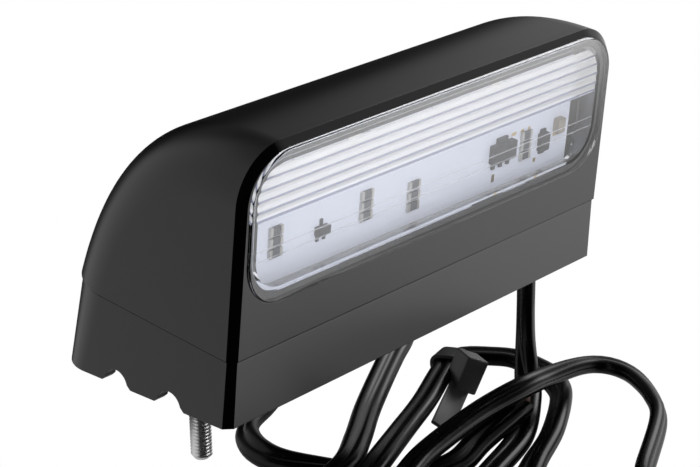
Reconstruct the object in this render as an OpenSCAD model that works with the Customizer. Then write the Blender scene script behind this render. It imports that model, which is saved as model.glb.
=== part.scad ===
// Number plate lamp with a wedge base, a leaning cap, a fluted clear lens and a flat twin cable.
// Frame: origin at the middle of the mounting face, X along the lamp, -Y out of the lens, +Z up.

/* [Housing] */
// Length at the mounting face
lamp_l = 110; // [96:1:140]
// Depth of the base at the mounting face
base_d = 48.4; // [46:0.2:56]
// Height of the base at its front edge
base_front_h = 13.5; // [12:0.5:18]
// Angle by which the front face leans forward
face_tilt = 6.2; // [4:0.1:8]
// Height of the cap along the leaning face
cap_h = 39.8; // [39:0.2:46]
// Depth of the cap at the seam
cap_d = 48.3; // [46:0.1:56]
// Draft of the two end walls
end_draft = 1.2; // [0.6:0.1:2]
// Level stretch of the cap's top behind the front face
top_flat = 4; // [2:0.5:6]
// Run of the crown's control point behind the level stretch
crown_run = 26; // [22:0.5:30]
// Height of the rear control point above the seam
rear_rise = 22; // [18:0.5:26]
// Lean of the rear control point ahead of the seam
rear_lean = 6; // [4:0.5:8]
// Fillet round the ends at the front of the cap
end_r = 10.4; // [8:0.2:11]
// Fillet round the ends at the rear seam
rear_r = 13.2; // [11:0.2:15]
// Corner radius of the base's rear corners at the mounting face
foot_r = 9.4; // [8:0.2:12]
// Chamfer along the front edges
edge_chamfer = 1.5; // [0.8:0.1:1.8]
// Wall of the cap and of the base
wall = 2.6; // [2.4:0.1:3]
// Thickness of the cap's front wall
front_wall = 3.4; // [3:0.1:4]
// Overhang of the cap over the base at the seam
cap_overhang = 0.35; // [0.2:0.05:0.5]

/* [Base] */
// Depth of the cable recess in the underside
recess_h = 3.6; // [3.4:0.1:4.5]
// Thickness of the base floor
floor_t = 2; // [1.8:0.1:2.6]
// Radius of the cable notches in the end walls
notch_r = 3.1; // [2.6:0.1:3.3]
// Flare at the lips of a notch
notch_flare = 0.8; // [0.4:0.1:1.2]
// Distance between the two notches of one end
notch_pitch = 14.4; // [12:0.2:16]
// Offset of the notch pair towards the front
notch_shift = 1.6; // [0:0.2:3]
// Height of the centring lip above the seam
lip_h = 1.2; // [1:0.1:1.6]
// Height of the seam seal
seam_seal_h = 0.7; // [0.6:0.1:1]

/* [Fixings] */
// Radius of the fixing studs
stud_r = 1.975; // [1.9:0.025:2]
// Length of the studs below the mounting face
stud_l = 13.3; // [10:0.1:20]
// Radius of the neck that holds a stud in the base floor
stud_neck_r = 2.6; // [2.4:0.1:3]
// Distance of a stud from the end of the lamp
stud_inset = 7.7; // [7.5:0.1:12]
// Distance of a stud from the middle across the lamp
stud_y = 8.8; // [6:0.1:10]
// Hexagon of the stud head across its flats
stud_head_af = 7; // [6:0.1:7.2]
// Height of the stud head
stud_head_h = 2.8; // [2.4:0.1:3.2]
// Distance of a case screw from the middle along the lamp
case_screw_x = 27; // [22:0.5:32]
// Position of the case screws across the lamp
case_screw_y = 6; // [3:0.5:9]
// Length of a case screw under its head
case_screw_l = 12; // [10:0.5:16]
// Radius of a case screw
case_screw_r = 1.45; // [1.3:0.05:1.6]

/* [Lens] */
// Distance from the end of the lamp to the lens
lens_end_gap = 3; // [3:0.1:8]
// Rim of the cap above the lens
lens_top_gap = 1.3; // [1.2:0.1:3]
// Lower edge of the lens above the seam
lens_low = 8.9; // [8.6:0.1:9.2]
// Corner radius of the lens
lens_r = 9.4; // [8:0.2:10]
// Thickness of the lens plate
lens_t = 2.4; // [2.2:0.1:2.8]
// Height by which the lens stands proud of the face
lens_proud = 0.5; // [0.3:0.1:0.8]
// Distance from the lens edge to its inner wall
lens_wall_inset = 2; // [1.8:0.1:2.4]
// Thickness of the lens's inner wall
lens_wall_t = 1.6; // [1.2:0.1:1.8]
// Drop from the top of the lens to the lowest flute
flute_drop = 11.8; // [11:0.1:14]
// Number of flutes behind the upper part of the lens
flute_count = 5; // [3:1:5]
// Pitch of the flutes
flute_pitch = 2.02; // [1.6:0.02:2.1]
// Height by which a flute stands out
flute_depth = 0.7; // [0.4:0.1:0.9]
// Thickness of the seal behind the lens
lens_seal_t = 0.4; // [0.3:0.05:0.5]

/* [Circuit board] */
// Distance from the end of the lens to the board
board_end_gap = 5.4; // [4.6:0.1:8]
// Thickness of the board
board_t = 1.6; // [1:0.1:2]
// Depth of the board's face behind the front face
board_y = 6.4; // [6.2:0.1:7]
// Lower edge of the board above the seam
board_low = 2.8; // [2.6:0.1:3.2]
// Clearance of the board under the cap's crown
board_clear = 1.2; // [0.8:0.1:3]
// Corner radius of the board
board_r = 5; // [3:0.5:7]
// Distance of a light diode from the middle
led_x = 20.5; // [16:0.5:24]
// Distance of a board screw from the middle
board_screw_x = 30; // [24:0.5:34]

/* [Cable] */
// Width of the flat twin cable
cable_w = 5.8; // [5:0.1:6]
// Thickness of the flat twin cable
cable_t = 3.2; // [2.8:0.1:3.4]
// Distance of the cable exit from the end of the lamp
exit_inset = 6; // [6:0.1:9]
// Distance of the cable exit towards the front
exit_y = 11.4; // [10:0.1:12]

/* [Hidden] */
$fn = 48;
eps = 0.02;
far = 200;
// Running clearance between moulded pieces
gap = 0.1;

// Levels and places worked out from the driving dimensions
half_l = lamp_l / 2;
stud_x = half_l - stud_inset;
exit_x = half_l - exit_inset;
lens_l = lamp_l - 2 * lens_end_gap;
lens_h = cap_h - lens_low - lens_top_gap;
board_l = lens_l - 2 * board_end_gap;
board_h = cap_h - wall - board_clear - board_low;
floor_top = recess_h + floor_t;
seam_y = -base_d / 2 - base_front_h * tan(face_tilt);
lip_inset = wall / 2 + 2 * gap;
rabbet_h = lip_h + seam_seal_h + gap;
lens_back = lens_t - lens_proud;
rebate_y = lens_back + lens_seal_t;
flute_low = lens_low + lens_h - flute_drop;
board_back = board_y + board_t;
exit_point = [exit_x, -exit_y];

// The cap's own frame starts at the front seam edge and leans with the face
module cap_frame() translate([0, seam_y, base_front_h]) rotate([face_tilt, 0, 0]) children();

// A flat outline in the plane of the front face, pushed back along the cap's y from y0 to y1
module on_face(y0, y1) translate([0, y1, 0]) rotate([90, 0, 0]) linear_extrude(y1 - y0) children();

// Half length of the housing at a height along the leaning face
function half_at(zc) = half_l - (base_front_h + zc) * tan(end_draft);

// Rounded rectangle with its lower edge at y = low
module round_rect(l, low, h, r) translate([0, low + h / 2])
    offset(r = r) square([l - 2 * r, h - 2 * r], center = true);

// Outer form of the cap: a crown curve across the lamp, carried along it and filleted round both ends
crown_a = [top_flat, cap_h];
crown_b = [top_flat + crown_run, cap_h];
crown_c = [cap_d - rear_lean, rear_rise];
crown_d = [cap_d, 0];
crown_steps = 16;
fillet_steps = 10;
lead_in = 4;
skirt = 12;

function crown_point(t) = pow(1 - t, 3) * crown_a + 3 * t * pow(1 - t, 2) * crown_b
    + 3 * t * t * (1 - t) * crown_c + pow(t, 3) * crown_d;
function crown_slope(t) = 3 * pow(1 - t, 2) * (crown_b - crown_a)
    + 6 * t * (1 - t) * (crown_c - crown_b) + 3 * t * t * (crown_d - crown_c);
function unit(v) = v / norm(v);
function inward(slope) = [unit(slope).y, -unit(slope).x];

// One station of the crown: its point, its inward direction and its end fillet
function stations() = [
    [[-lead_in, cap_h], [0, -1], end_r],
    for (k = [0:crown_steps]) let (t = k / crown_steps)
        [crown_point(t), inward(crown_slope(t)), end_r + (rear_r - end_r) * t],
    [crown_d + unit(crown_slope(1)), inward(crown_slope(1)), rear_r]
];

// Points across the lamp at one station, from the left end to the right end
function across(s, inset) = let (r = s[2] - inset) [
    for (side = [-1, 1], k = [0:fillet_steps])
        let (a = 90 * (side < 0 ? fillet_steps - k : k) / fillet_steps,
             q = s[0] + s[1] * (inset + r * (1 - cos(a))))
        [side * (half_at(q.y) - inset - r + r * sin(a)), q.x, q.y]
];
// The last row falls straight down to a level below the seam
function dropped(row, s, inset) = let (r = s[2] - inset, w = half_at(-skirt) - half_at(0)) [
    for (p = row) [p.x + sign(p.x) * w, p.y, -skirt]
];

module crown_body(inset = 0) {
    st = stations();
    grid = [for (s = st) across(s, inset)];
    last = dropped(grid[len(grid) - 1], st[len(st) - 1], inset);
    rows = concat(grid, [last]);
    n = len(rows);
    m = len(rows[0]);
    corner_x = abs(last[0].x);
    corners = [[-corner_x, -lead_in, -skirt], [corner_x, -lead_in, -skirt]];
    points = concat([for (row = rows, p = row) p], corners);
    left = n * m;
    right = n * m + 1;
    skin = [for (i = [0:n - 2], j = [0:m - 2]) let (a = i * m + j, b = (i + 1) * m + j)
        each [[a, b + 1, a + 1], [a, b, b + 1]]];
    front = concat([for (j = [0:m - 1]) j], [right, left]);
    under = concat([for (j = [m - 1:-1:0]) (n - 1) * m + j], [left, right]);
    left_end = concat([for (i = [n - 1:-1:0]) i * m], [left]);
    right_end = concat([for (i = [0:n - 1]) i * m + m - 1], [right]);
    polyhedron(points, concat(skin, [front, under, left_end, right_end]), convexity = 4);
}

// Everything in the cap's frame with z at or above a level
module above(zc) translate([-far / 2, -far / 2, zc]) cube(far);

// Front view of the cap, drawn in x and z, grown by g
module front_view(g) offset(delta = g) intersection() {
    polygon([
        [-half_at(-skirt), -skirt], [half_at(-skirt), -skirt],
        [half_at(cap_h), cap_h], [-half_at(cap_h), cap_h]
    ]);
    union() {
        translate([0, -skirt]) square([far, 2 * (cap_h - end_r + skirt)], center = true);
        hull() for (side = [-1, 1])
            translate([side * (half_at(cap_h) - end_r), cap_h - end_r]) circle(end_r);
    }
}

// Body that puts the chamfer on the front edges of whatever is intersected with it
module chamfered_front(ch) hull() {
    on_face(0, eps) front_view(-ch);
    on_face(ch, cap_d + ch) front_view(eps);
}

module lens_outline(grow) round_rect(lens_l + 2 * grow, lens_low - grow, lens_h + 2 * grow, lens_r + grow);

// Plan of the housing at the seam or the foot: chamfered front corners and round rear corners
function plan(hw, y0, y1, rx, ry, ch) = concat(
    [[-hw, y0 + ch], [-hw + ch, y0], [hw - ch, y0], [hw, y0 + ch]],
    [for (k = [0:fillet_steps]) let (a = 90 * k / fillet_steps)
        [hw - rx + rx * cos(a), y1 - ry + ry * sin(a)]],
    [for (k = [0:fillet_steps]) let (a = 90 * k / fillet_steps)
        [-hw + rx - rx * sin(a), y1 - ry + ry * cos(a)]]
);
rear_squash = norm(crown_slope(1)) / abs(crown_slope(1).y);
function seam_plan(inset) = let (r = rear_r - inset)
    plan(half_at(0) - inset, inset, cap_d - inset, r, r * rear_squash, max(edge_chamfer - inset / 2, 0.3));
function foot_plan(inset) = let (r = foot_r - inset)
    plan(half_l - inset, -base_d / 2 + inset, base_d / 2 - inset, r, r, max(edge_chamfer - inset / 2, 0.3));
function seam_to_lamp(p, zc) = [
    p.x,
    seam_y + p.y * cos(face_tilt) - zc * sin(face_tilt),
    base_front_h + p.y * sin(face_tilt) + zc * cos(face_tilt)
];

// Loft from the foot up to the leaning seam, with both plans inset
module wedge(inset, foot_inset, foot_z = 0, over = 0) {
    low = [for (p = foot_plan(foot_inset)) [p.x, p.y, foot_z]];
    high = [for (p = seam_plan(inset)) seam_to_lamp(p, over)];
    m = len(low);
    sides = [for (j = [0:m - 1]) let (k = (j + 1) % m) each [[j, m + k, k], [j, m + j, m + k]]];
    ends = [[for (j = [0:m - 1]) j], [for (j = [m - 1:-1:0]) m + j]];
    polyhedron(concat(low, high), concat(sides, ends), convexity = 4);
}

module hexagon(af) circle(d = af / cos(30), $fn = 6);

module at_studs() for (side = [-1, 1]) translate([side * stud_x, side * stud_y]) children();
module at_case_screws() for (side = [-1, 1]) translate([side * case_screw_x, case_screw_y]) children();
module at_board_screws() for (side = [-1, 1])
    translate([side * board_screw_x, 0, board_low + board_screw_up]) children();

boss_r = 3.4;
boss_gap = 0.15;
stud_boss_r = 4.6;
pocket_r = 5.4;
screw_head_r = 2.8;
screw_head_h = 2;
rib_t = 1.6;
board_screw_r = 1;
board_screw_up = 3;
board_screw_head_r = 1.9;
board_screw_head_h = 1.3;
rib_end = 12;
post_root = 0.4;
screw_start = 0.5;
board_post_r = 2.4;
clip_w = 5;
clip_reach = 2;

module cap() color([0.16, 0.16, 0.165]) {
    cap_frame() difference() {
        intersection() {
            crown_body();
            chamfered_front(edge_chamfer);
            above(0);
        }
        intersection() {
            crown_body(wall);
            translate([-far / 2, front_wall, -far / 2]) cube(far);
        }
        on_face(-far, rebate_y) lens_outline(gap);
        on_face(-far, front_wall + 1) lens_outline(-lens_wall_inset + gap);
        translate([0, 0, -1]) linear_extrude(rabbet_h + 1) polygon(seam_plan(lip_inset - gap));
    }
    case_bosses();
    board_posts();
    board_clips();
}

// Long screw bosses that hang from the crown and stop just above the base floor
module case_bosses() difference() {
    intersection() {
        at_case_screws() translate([0, 0, floor_top + boss_gap]) cylinder(r = boss_r, h = far);
        cap_frame() crown_body(wall - 0.4);
    }
    at_case_screws() cylinder(r = case_screw_r + gap / 4, h = floor_top + case_screw_l);
}

// Posts from the front wall that carry the board below the lens
module board_posts() cap_frame() at_board_screws() difference() {
    translate([0, front_wall - post_root, 0]) rotate([-90, 0, 0])
        cylinder(r = board_post_r, h = board_y - front_wall + post_root);
    translate([0, front_wall, 0]) rotate([-90, 0, 0]) cylinder(r = board_screw_r + gap / 4, h = far / 4);
}

// Ribs from the crown that stop the board's upper edge from moving back
module board_clips() cap_frame() for (side = [-1, 1]) translate([side * led_x, 0, 0])
    translate([-clip_w / 2, board_back + gap, board_low + board_h - clip_reach])
    cube([clip_w, rib_t, clip_reach + board_clear + wall / 2]);

module base() color([0.2, 0.2, 0.205]) difference() {
    union() {
        difference() {
            wedge(cap_overhang, 0);
            intersection() {
                wedge(wall + cap_overhang, wall, -1, 1);
                translate([-far / 2, -far / 2, floor_top]) cube(far);
            }
            translate([0, 0, -1]) linear_extrude(recess_h + 1) polygon(foot_plan(wall));
        }
        centring_lip();
        translate([-half_l + wall + rib_end, -rib_t / 2, 0])
            cube([lamp_l - 2 * (wall + rib_end), rib_t, recess_h + eps]);
        at_studs() cylinder(r = stud_boss_r, h = recess_h + eps);
        at_studs() translate([0, 0, floor_top - eps]) cylinder(r = pocket_r, h = stud_head_h * 0.8);
    }
    at_studs() translate([0, 0, -1]) cylinder(r = stud_neck_r + gap / 2, h = floor_top + 2);
    at_studs() translate([0, 0, floor_top]) linear_extrude(stud_head_h) hexagon(stud_head_af + 2 * gap);
    at_case_screws() translate([0, 0, -1]) cylinder(r = case_screw_r + gap, h = floor_top + 2);
    notches();
    translate([0, 0, recess_h - 1]) linear_extrude(floor_t + 2) grommet_plan(0);
}

// Lip that centres the cap on the base
module centring_lip() cap_frame() translate([0, 0, -2]) linear_extrude(lip_h + 2) difference() {
    polygon(seam_plan(lip_inset));
    polygon(seam_plan(wall + cap_overhang));
}

// Half round cable notches in the lower edge of both ends
module notches() for (row = [-0.5, 0.5]) translate([-far / 2, row * notch_pitch - notch_shift, 0]) {
    rotate([0, 90, 0]) cylinder(r = notch_r, h = far);
    lip = notch_r + notch_flare;
    rotate([90, 0, 90]) linear_extrude(far) polygon([
        [-lip, -1], [lip, -1], [lip, 0], [notch_r, notch_flare], [-notch_r, notch_flare], [-lip, 0]
    ]);
}

module case_seal() color([0.1, 0.1, 0.1]) cap_frame() translate([0, 0, lip_h]) linear_extrude(seam_seal_h)
    difference() {
        polygon(seam_plan(lip_inset + gap));
        polygon(seam_plan(wall));
    }

module case_screws() color([0.75, 0.76, 0.78]) at_case_screws() {
    translate([0, 0, recess_h - screw_head_h]) cylinder(r = screw_head_r, h = screw_head_h);
    translate([0, 0, recess_h - eps]) cylinder(r = case_screw_r, h = case_screw_l - 2);
    translate([0, 0, recess_h + case_screw_l - 2 - eps]) cylinder(r1 = case_screw_r, r2 = 0.4, h = 2);
}

// Hexagon headed stud: head in its pocket, neck through the base floor, thread below the mounting face
stud_lead = 0.6;
module stud() color([0.78, 0.79, 0.8]) {
    translate([0, 0, floor_top]) linear_extrude(stud_head_h) hexagon(stud_head_af);
    cylinder(r = stud_neck_r, h = floor_top + eps);
    translate([0, 0, -stud_l + stud_lead]) cylinder(r = stud_r, h = stud_l - stud_lead + eps);
    translate([0, 0, -stud_l]) cylinder(r1 = stud_r - stud_lead, r2 = stud_r, h = stud_lead + eps);
}
module stud_left() translate([-stud_x, -stud_y]) stud();
module stud_right() translate([stud_x, stud_y]) stud();

lens_bevel = 0.5;
// Clear cover: bevelled plate, inner wall round the window and flutes behind its upper part
module lens() color([0.86, 0.89, 0.95, 0.45]) cap_frame() {
    hull() {
        on_face(-lens_proud, -lens_proud + eps) lens_outline(-lens_bevel);
        on_face(-lens_proud + lens_bevel, lens_back) lens_outline(0);
    }
    on_face(lens_back - eps, board_y) difference() {
        lens_outline(-lens_wall_inset);
        lens_outline(-lens_wall_inset - lens_wall_t);
    }
    flute_l = lens_l - 2 * (lens_wall_inset + lens_wall_t / 2);
    flute_r = (pow(flute_pitch / 2, 2) + pow(flute_depth, 2)) / (2 * flute_depth);
    for (k = [0:flute_count - 1]) intersection() {
        translate([-flute_l / 2, lens_back + flute_depth - flute_r, flute_low + k * flute_pitch])
            rotate([0, 90, 0]) cylinder(r = flute_r, h = flute_l);
        on_face(lens_back - eps, far / 4) lens_outline(-lens_wall_inset - eps);
    }
}

module lens_seal() color([0.12, 0.12, 0.12]) cap_frame() on_face(lens_back, rebate_y) difference() {
    lens_outline(-3 * gap);
    lens_outline(-lens_wall_inset + gap);
}

module board() color([0.9, 0.92, 0.96]) cap_frame() difference() {
    on_face(board_y, board_back) round_rect(board_l, board_low, board_h, board_r);
    at_board_screws() rotate([-90, 0, 0]) cylinder(r = board_screw_r + 2 * gap, h = far / 4);
}

module board_screws() color([0.75, 0.76, 0.78]) cap_frame() at_board_screws() {
    translate([0, board_back, 0]) rotate([-90, 0, 0])
        cylinder(r = board_screw_head_r, h = board_screw_head_h);
    translate([0, front_wall + screw_start, 0]) rotate([-90, 0, 0])
        cylinder(r = board_screw_r, h = board_back - front_wall);
}

// White bar across the board that frames the two light diodes
led_drop = 3.2;
led_z = board_low + board_h - led_drop;
led_body = [3.3, 0.8, 1.8];
bar_end = 2.6;
bar_l = board_l - 2 * bar_end;
bar_h = 3;
bar_t = 1.6;
bar_r = 0.8;
window_top = 6.8;
window_foot = 4.4;
window_h = 2;
slit_end = 6.5;
slit_w = 0.5;
slit_h = 1.2;
module window() polygon([
    [-window_top / 2, window_h / 2], [window_top / 2, window_h / 2],
    [window_foot / 2, -window_h / 2], [-window_foot / 2, -window_h / 2]
]);
module reflector() color([0.94, 0.95, 0.97]) cap_frame() on_face(board_y - bar_t, board_y) difference() {
    round_rect(bar_l, led_z - bar_h / 2, bar_h, bar_r);
    for (side = [-1, 1]) translate([side * led_x, led_z]) window();
    for (k = [-1:1]) translate([k * (bar_l / 2 - slit_end), led_z]) square([slit_w, slit_h], center = true);
}

// A block on the board's face, given by its middle and its size: width, height over the board, length up it
module chip(x, zc, size) translate([x - size.x / 2, board_y - size.y, zc - size.z / 2]) cube(size);

module led(side) color([0.97, 0.95, 0.82]) cap_frame() chip(side * led_x, led_z, led_body);
module led_left() led(-1);
module led_right() led(1);

// Parts in the lower half of the board, each column by its distance from the nearer end or the middle
row_low = board_low + 11.5;
left_column = 7.4;
transistor_column = 19.4;
driver_column = 22;
right_column = 14.2;
diode_column = 8.6;
capacitor_column = 4;
inner_column = 15.2;
centre_column = 1.7;

driver_up = 3.3;
driver_body = [6.9, 1.5, 3.6];
driver_leg = [0.8, 0.5, 1.5];
driver_leg_pitch = 2.3;
driver_tab = [3.2, 0.5, 1.1];
module driver_chip() color([0.13, 0.13, 0.14]) cap_frame()
    translate([board_l / 2 - driver_column, 0, row_low + driver_up]) {
        chip(0, 0, driver_body);
        for (k = [-1:1]) chip(k * driver_leg_pitch, -(driver_body.z + driver_leg.z) / 2 + eps, driver_leg);
        chip(0, (driver_body.z + driver_tab.z) / 2 - eps, driver_tab);
    }

transistor_up = 1.9;
transistor_body = [3.1, 1.1, 1.6];
transistor_leg = [0.6, 0.3, 1.3];
transistor_leg_pitch = 1.8;
module transistor() color([0.12, 0.12, 0.13]) cap_frame()
    translate([-board_l / 2 + transistor_column, 0, row_low + transistor_up]) {
        chip(0, 0, transistor_body);
        for (k = [-0.5, 0.5])
            chip(k * transistor_leg_pitch, -(transistor_body.z + transistor_leg.z) / 2 + eps, transistor_leg);
        chip(0, (transistor_body.z + transistor_leg.z) / 2 - eps, transistor_leg);
    }

diode_up = 1.9;
diode_body = [2.6, 1.3, 3.6];
diode_end = [1.6, 0.4, 0.8];
module diode_right() color([0.14, 0.14, 0.15]) cap_frame()
    translate([board_l / 2 - diode_column, 0, row_low + diode_up]) {
        chip(0, 0, diode_body);
        for (side = [-1, 1]) chip(0, side * (diode_body.z + diode_end.z) / 2 - side * eps, diode_end);
    }

capacitor_up = 4.3;
capacitor_body = [2.2, 1.6, 3];
module capacitor_right() color([0.62, 0.58, 0.5]) cap_frame()
    chip(board_l / 2 - capacitor_column, row_low + capacitor_up, capacitor_body);

// A column of chip resistors, one above the other
resistor_body = [3, 0.55, 1.6];
resistor_pitch = 2.1;
resistor_count = 3;
module resistors(x, up) color([0.2, 0.21, 0.24]) cap_frame()
    for (k = [0:resistor_count - 1]) chip(x, row_low + up + k * resistor_pitch, resistor_body);
module resistors_left() resistors(-board_l / 2 + left_column, 1.1);
module resistors_inner() resistors(-inner_column, 1.1);
module resistors_centre() resistors(-centre_column, -0.8);
module resistors_right() resistors(board_l / 2 - right_column, 0.4);

// Rubber sleeve that lines the slot in the base floor round the cable
grommet_t = 1;
module grommet_plan(grow) hull() for (side = [-1, 1])
    translate([exit_point.x, exit_point.y + side * (cable_w - cable_t) / 2])
        circle(cable_t / 2 + grommet_t + grow);
flange_t = 1;
flange_w = 0.8;
module grommet() color([0.08, 0.08, 0.08]) difference() {
    union() {
        translate([0, 0, recess_h - flange_t]) linear_extrude(flange_t) grommet_plan(flange_w);
        translate([0, 0, recess_h - eps]) linear_extrude(floor_t + 2 * eps) grommet_plan(-gap);
        translate([0, 0, floor_top]) linear_extrude(flange_t) grommet_plan(flange_w);
    }
    linear_extrude(far, center = true) grommet_plan(-grommet_t + gap / 2);
}

// A round tube through a list of points
function along(pts, i) = unit(pts[min(i + 1, len(pts) - 1)] - pts[max(i - 1, 0)]);
function ring(p, side, up, rs, ru, n) = [for (k = [0:n - 1]) let (a = 360 * k / n)
    p + side * rs * cos(a) + up * ru * sin(a)];
module skin_rings(rings) {
    n = len(rings);
    m = len(rings[0]);
    sides = [for (i = [0:n - 2], j = [0:m - 1]) let (k = (j + 1) % m)
        each [[i * m + j, i * m + k, (i + 1) * m + k], [i * m + j, (i + 1) * m + k, (i + 1) * m + j]]];
    polyhedron([for (r = rings, p = r) p],
        concat(sides, [[for (j = [m - 1:-1:0]) j], [for (j = [0:m - 1]) (n - 1) * m + j]]), convexity = 8);
}

// Catmull-Rom curve through chosen points, with steps rings between two of them
function blend(a, b, c, d, t) = 0.5 * (2 * b + (c - a) * t + (2 * a - 5 * b + 4 * c - d) * t * t
    + (3 * b - a - 3 * c + d) * t * t * t);
function curve(pts, steps) = let (n = len(pts)) concat(
    [for (i = [0:n - 2], k = [0:steps - 1])
        blend(pts[max(i - 1, 0)], pts[i], pts[i + 1], pts[min(i + 2, n - 1)], k / steps)],
    [pts[n - 1]]
);

// Flat cable section: the wide side lies level, or leans by the angle given with each point
hang_z = -14;
ground_z = -31;
jacket_top = floor_top + 4.4;
drop_way = [-0.84, -0.54, 0];
function place(r) = [r.x, r.y, r.z];
function facing(p) = let (s = min(1, max(0, (hang_z - p.z) / 12))) drop_way * (1 - s) + [0, 0, s];
function level_up(d, p) = let (f = facing(p)) unit(f - d * (f * d));
function leaning(d, r) = let (u = level_up(d, place(r))) u * cos(r[3]) + cross(d, u) * sin(r[3]);
function flat_ring(rows, i, w, t) = let (
    pts = [for (r = rows) place(r)], d = along(pts, i), up = leaning(d, rows[i])
) ring(pts[i], cross(up, d), up, w / 2, t / 2, 8);

// Route of the cable: x, y, z and lean at each chosen point, from inside the base to its stripped end
route = [
    [49, -11.4, 10, 0], [49, -11.4, 0, 0], [49, -11.4, -8, 0], [49, -11.4, -15.5, 0],
    [47.6, -12.6, -22.4, 0], [43.8, -15.9, -27.4, 5], [37.6, -21.2, -29.1, 3], [22.4, -30.6, -29.4, 0],
    [5, -36, -29.3, 5], [-6, -40, -29.3, 0], [-17, -46, -29.3, 0], [-27.5, -47.6, -29.4, 0],
    [-37.5, -42.5, -29.4, 0], [-39, -32.5, -29.2, 0], [-33, -25.6, -28.2, 5], [-22.5, -24.2, -26.6, 10],
    [-11.5, -20.6, -25.5, 14], [7, -11.9, -27.6, 20], [21.1, -5.8, -28.4, 20], [37.9, 2.1, -28.6, 30],
    [44.1, 2.6, -28.6, 30], [48.4, -2.2, -28.6, 20], [50.9, -7.5, -28.6, 20], [49.7, -15.7, -28.6, 30],
    [46.1, -22.2, -28.4, 40], [40.8, -27.5, -28.4, 44], [26.8, -35.6, -28.4, 44],
    [14, -40.6, -28.8, 20], [6, -45, -29.3, 5], [2.3, -53, -29.3, 0], [6, -61.5, -28.6, 20],
    [14.5, -65.3, -27.5, 60], [22.1, -61.9, -25.5, 80], [38.6, -53.8, -24.4, 80],
    [45, -48.2, -23.8, 70], [49.6, -42.1, -23.6, 50], [51.9, -37.2, -23.4, 30], [51.8, -32.9, -23, 18],
    [49.4, -29.7, -22.6, 18], [44.2, -28, -22, 40], [35.7, -26.9, -21.6, 70], [27.2, -26.8, -21.1, 85],
    [15, -25.4, -22.5, 90], [-1.5, -26.3, -24, 75], [-11, -28.6, -24.6, 45], [-22, -33, -24.8, 15],
    [-34, -38, -25.2, 0], [-45, -41.5, -26.6, 0], [-53.5, -42.5, -28.6, 0], [-60.6, -37, -29.4, 0],
    [-61.8, -27.5, -29.4, 0], [-56, -19.6, -29.4, 0], [-46, -16.8, -29.4, 0], [-34, -17.4, -28.8, 0],
    [-24.5, -16.9, -26.6, 0], [-14.6, -15.6, -25.4, 0], [-2.8, -8, -27.3, 5], [11.1, 1.8, -29.2, 0],
    [24.3, 9.7, -29.4, 0], [35.8, 16.2, -29.4, 0], [45.4, 21.4, -29.4, 0], [53.5, 28.6, -29.4, 0],
    [54.8, 38, -29.4, 0], [48.5, 45.2, -29.4, 0], [39.5, 45.4, -29.4, 0], [31, 40, -29.4, 0],
    [21.5, 33, -29.4, 0], [10.5, 26, -29.4, 0], [-2.8, 19, -28.9, 20], [-11.5, 14.9, -28.6, 40],
    [-16, 10.6, -28.4, 45], [-18.3, 5, -28.6, 35], [-17.9, -1.7, -28.8, 20], [-12.4, -12.5, -29.4, 0],
    [-10.6, -20, -29.4, 0], [-4.5, -26, -29.2, 10], [4.5, -28.5, -28.8, 30], [13.3, -27.3, -27.6, 20],
    [24.9, -26.7, -26.1, 5], [31, -25.6, -25.9, 0]
];
cable = [for (i = [0:len(route) - 1]) let (r = route[i], own = i < 6 ? 1 - i / 6 : 0) [
    r.x + own * (exit_x - route[0].x), r.y - own * (exit_y + route[0].y),
    i == 0 ? jacket_top : r.z, r[3]
]];

module cord() color([0.07, 0.07, 0.07])
    skin_rings([for (i = [0:len(cable) - 1]) flat_ring(cable, i, cable_w, cable_t)]);

// Axes of the cable at the middle of one stretch of its route: x along it, y across its wide side
module on_cable(i) {
    a = cable[i];
    b = cable[i + 1];
    d = unit(place(b) - place(a));
    up = leaning(d, (a + b) / 2);
    side = cross(up, d);
    mid = place(a + b) / 2;
    multmatrix([
        [d.x, side.x, up.x, mid.x],
        [d.y, side.y, up.y, mid.y],
        [d.z, side.z, up.z, mid.z],
        [0, 0, 0, 1]
    ]) children();
}

core_r = 0.85;
core_offset = (cable_w - cable_t) / 2;
core_l = 9;
tip_l = 5;
tip_r = 0.5;
cable_end = place(cable[len(cable) - 1]);
end_dir = unit(cable_end - place(cable[len(cable) - 2]));
end_side = unit(cross(end_dir, leaning(end_dir, cable[len(cable) - 1])));
module rod(a, b, r) {
    d = unit(b - a);
    up = cross(d, [0, 0, 1]);
    skin_rings([for (p = [a, b]) ring(p, unit(up), cross(unit(up), d), r, r, 12)]);
}
function core_start(side) = cable_end + side * core_offset * end_side;
module end_cores() color([0.35, 0.2, 0.12]) for (side = [-1, 1])
    rod(core_start(side), core_start(side) + core_l * end_dir, core_r);
module core_tips() color([0.75, 0.75, 0.76]) for (side = [-1, 1])
    rod(core_start(side) + core_l * end_dir, core_start(side) + (core_l + tip_l) * end_dir, tip_r);

// Insulated cores from the jacket's end to the back of the board: the rear one rises over the front one
core_reach = 9;
core_stand = 1;
module inner_core(side, rise, up) {
    start = [exit_x, -exit_y + side * core_offset, jacket_top];
    goal = seam_to_lamp([exit_x - core_reach, board_back + core_stand], board_low + up);
    bend = start + [-core_reach / 4, 0, rise];
    near = goal + [core_reach / 3, core_reach / 3, -core_reach / 4];
    pts = curve([start, start + [0, 0, rise / 3], bend, near, goal], 3);
    skin_rings([for (i = [0:len(pts) - 1]) let (d = along(pts, i), side_v = unit(cross(d, [0.3, 1, 0.1])))
        ring(pts[i], side_v, cross(side_v, d), core_r, core_r, 8)]);
}
module inner_core_a() color([0.6, 0.1, 0.1]) inner_core(-1, 5, 4.4);
module inner_core_b() color([0.1, 0.1, 0.1]) inner_core(1, 9, 8.6);

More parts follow.
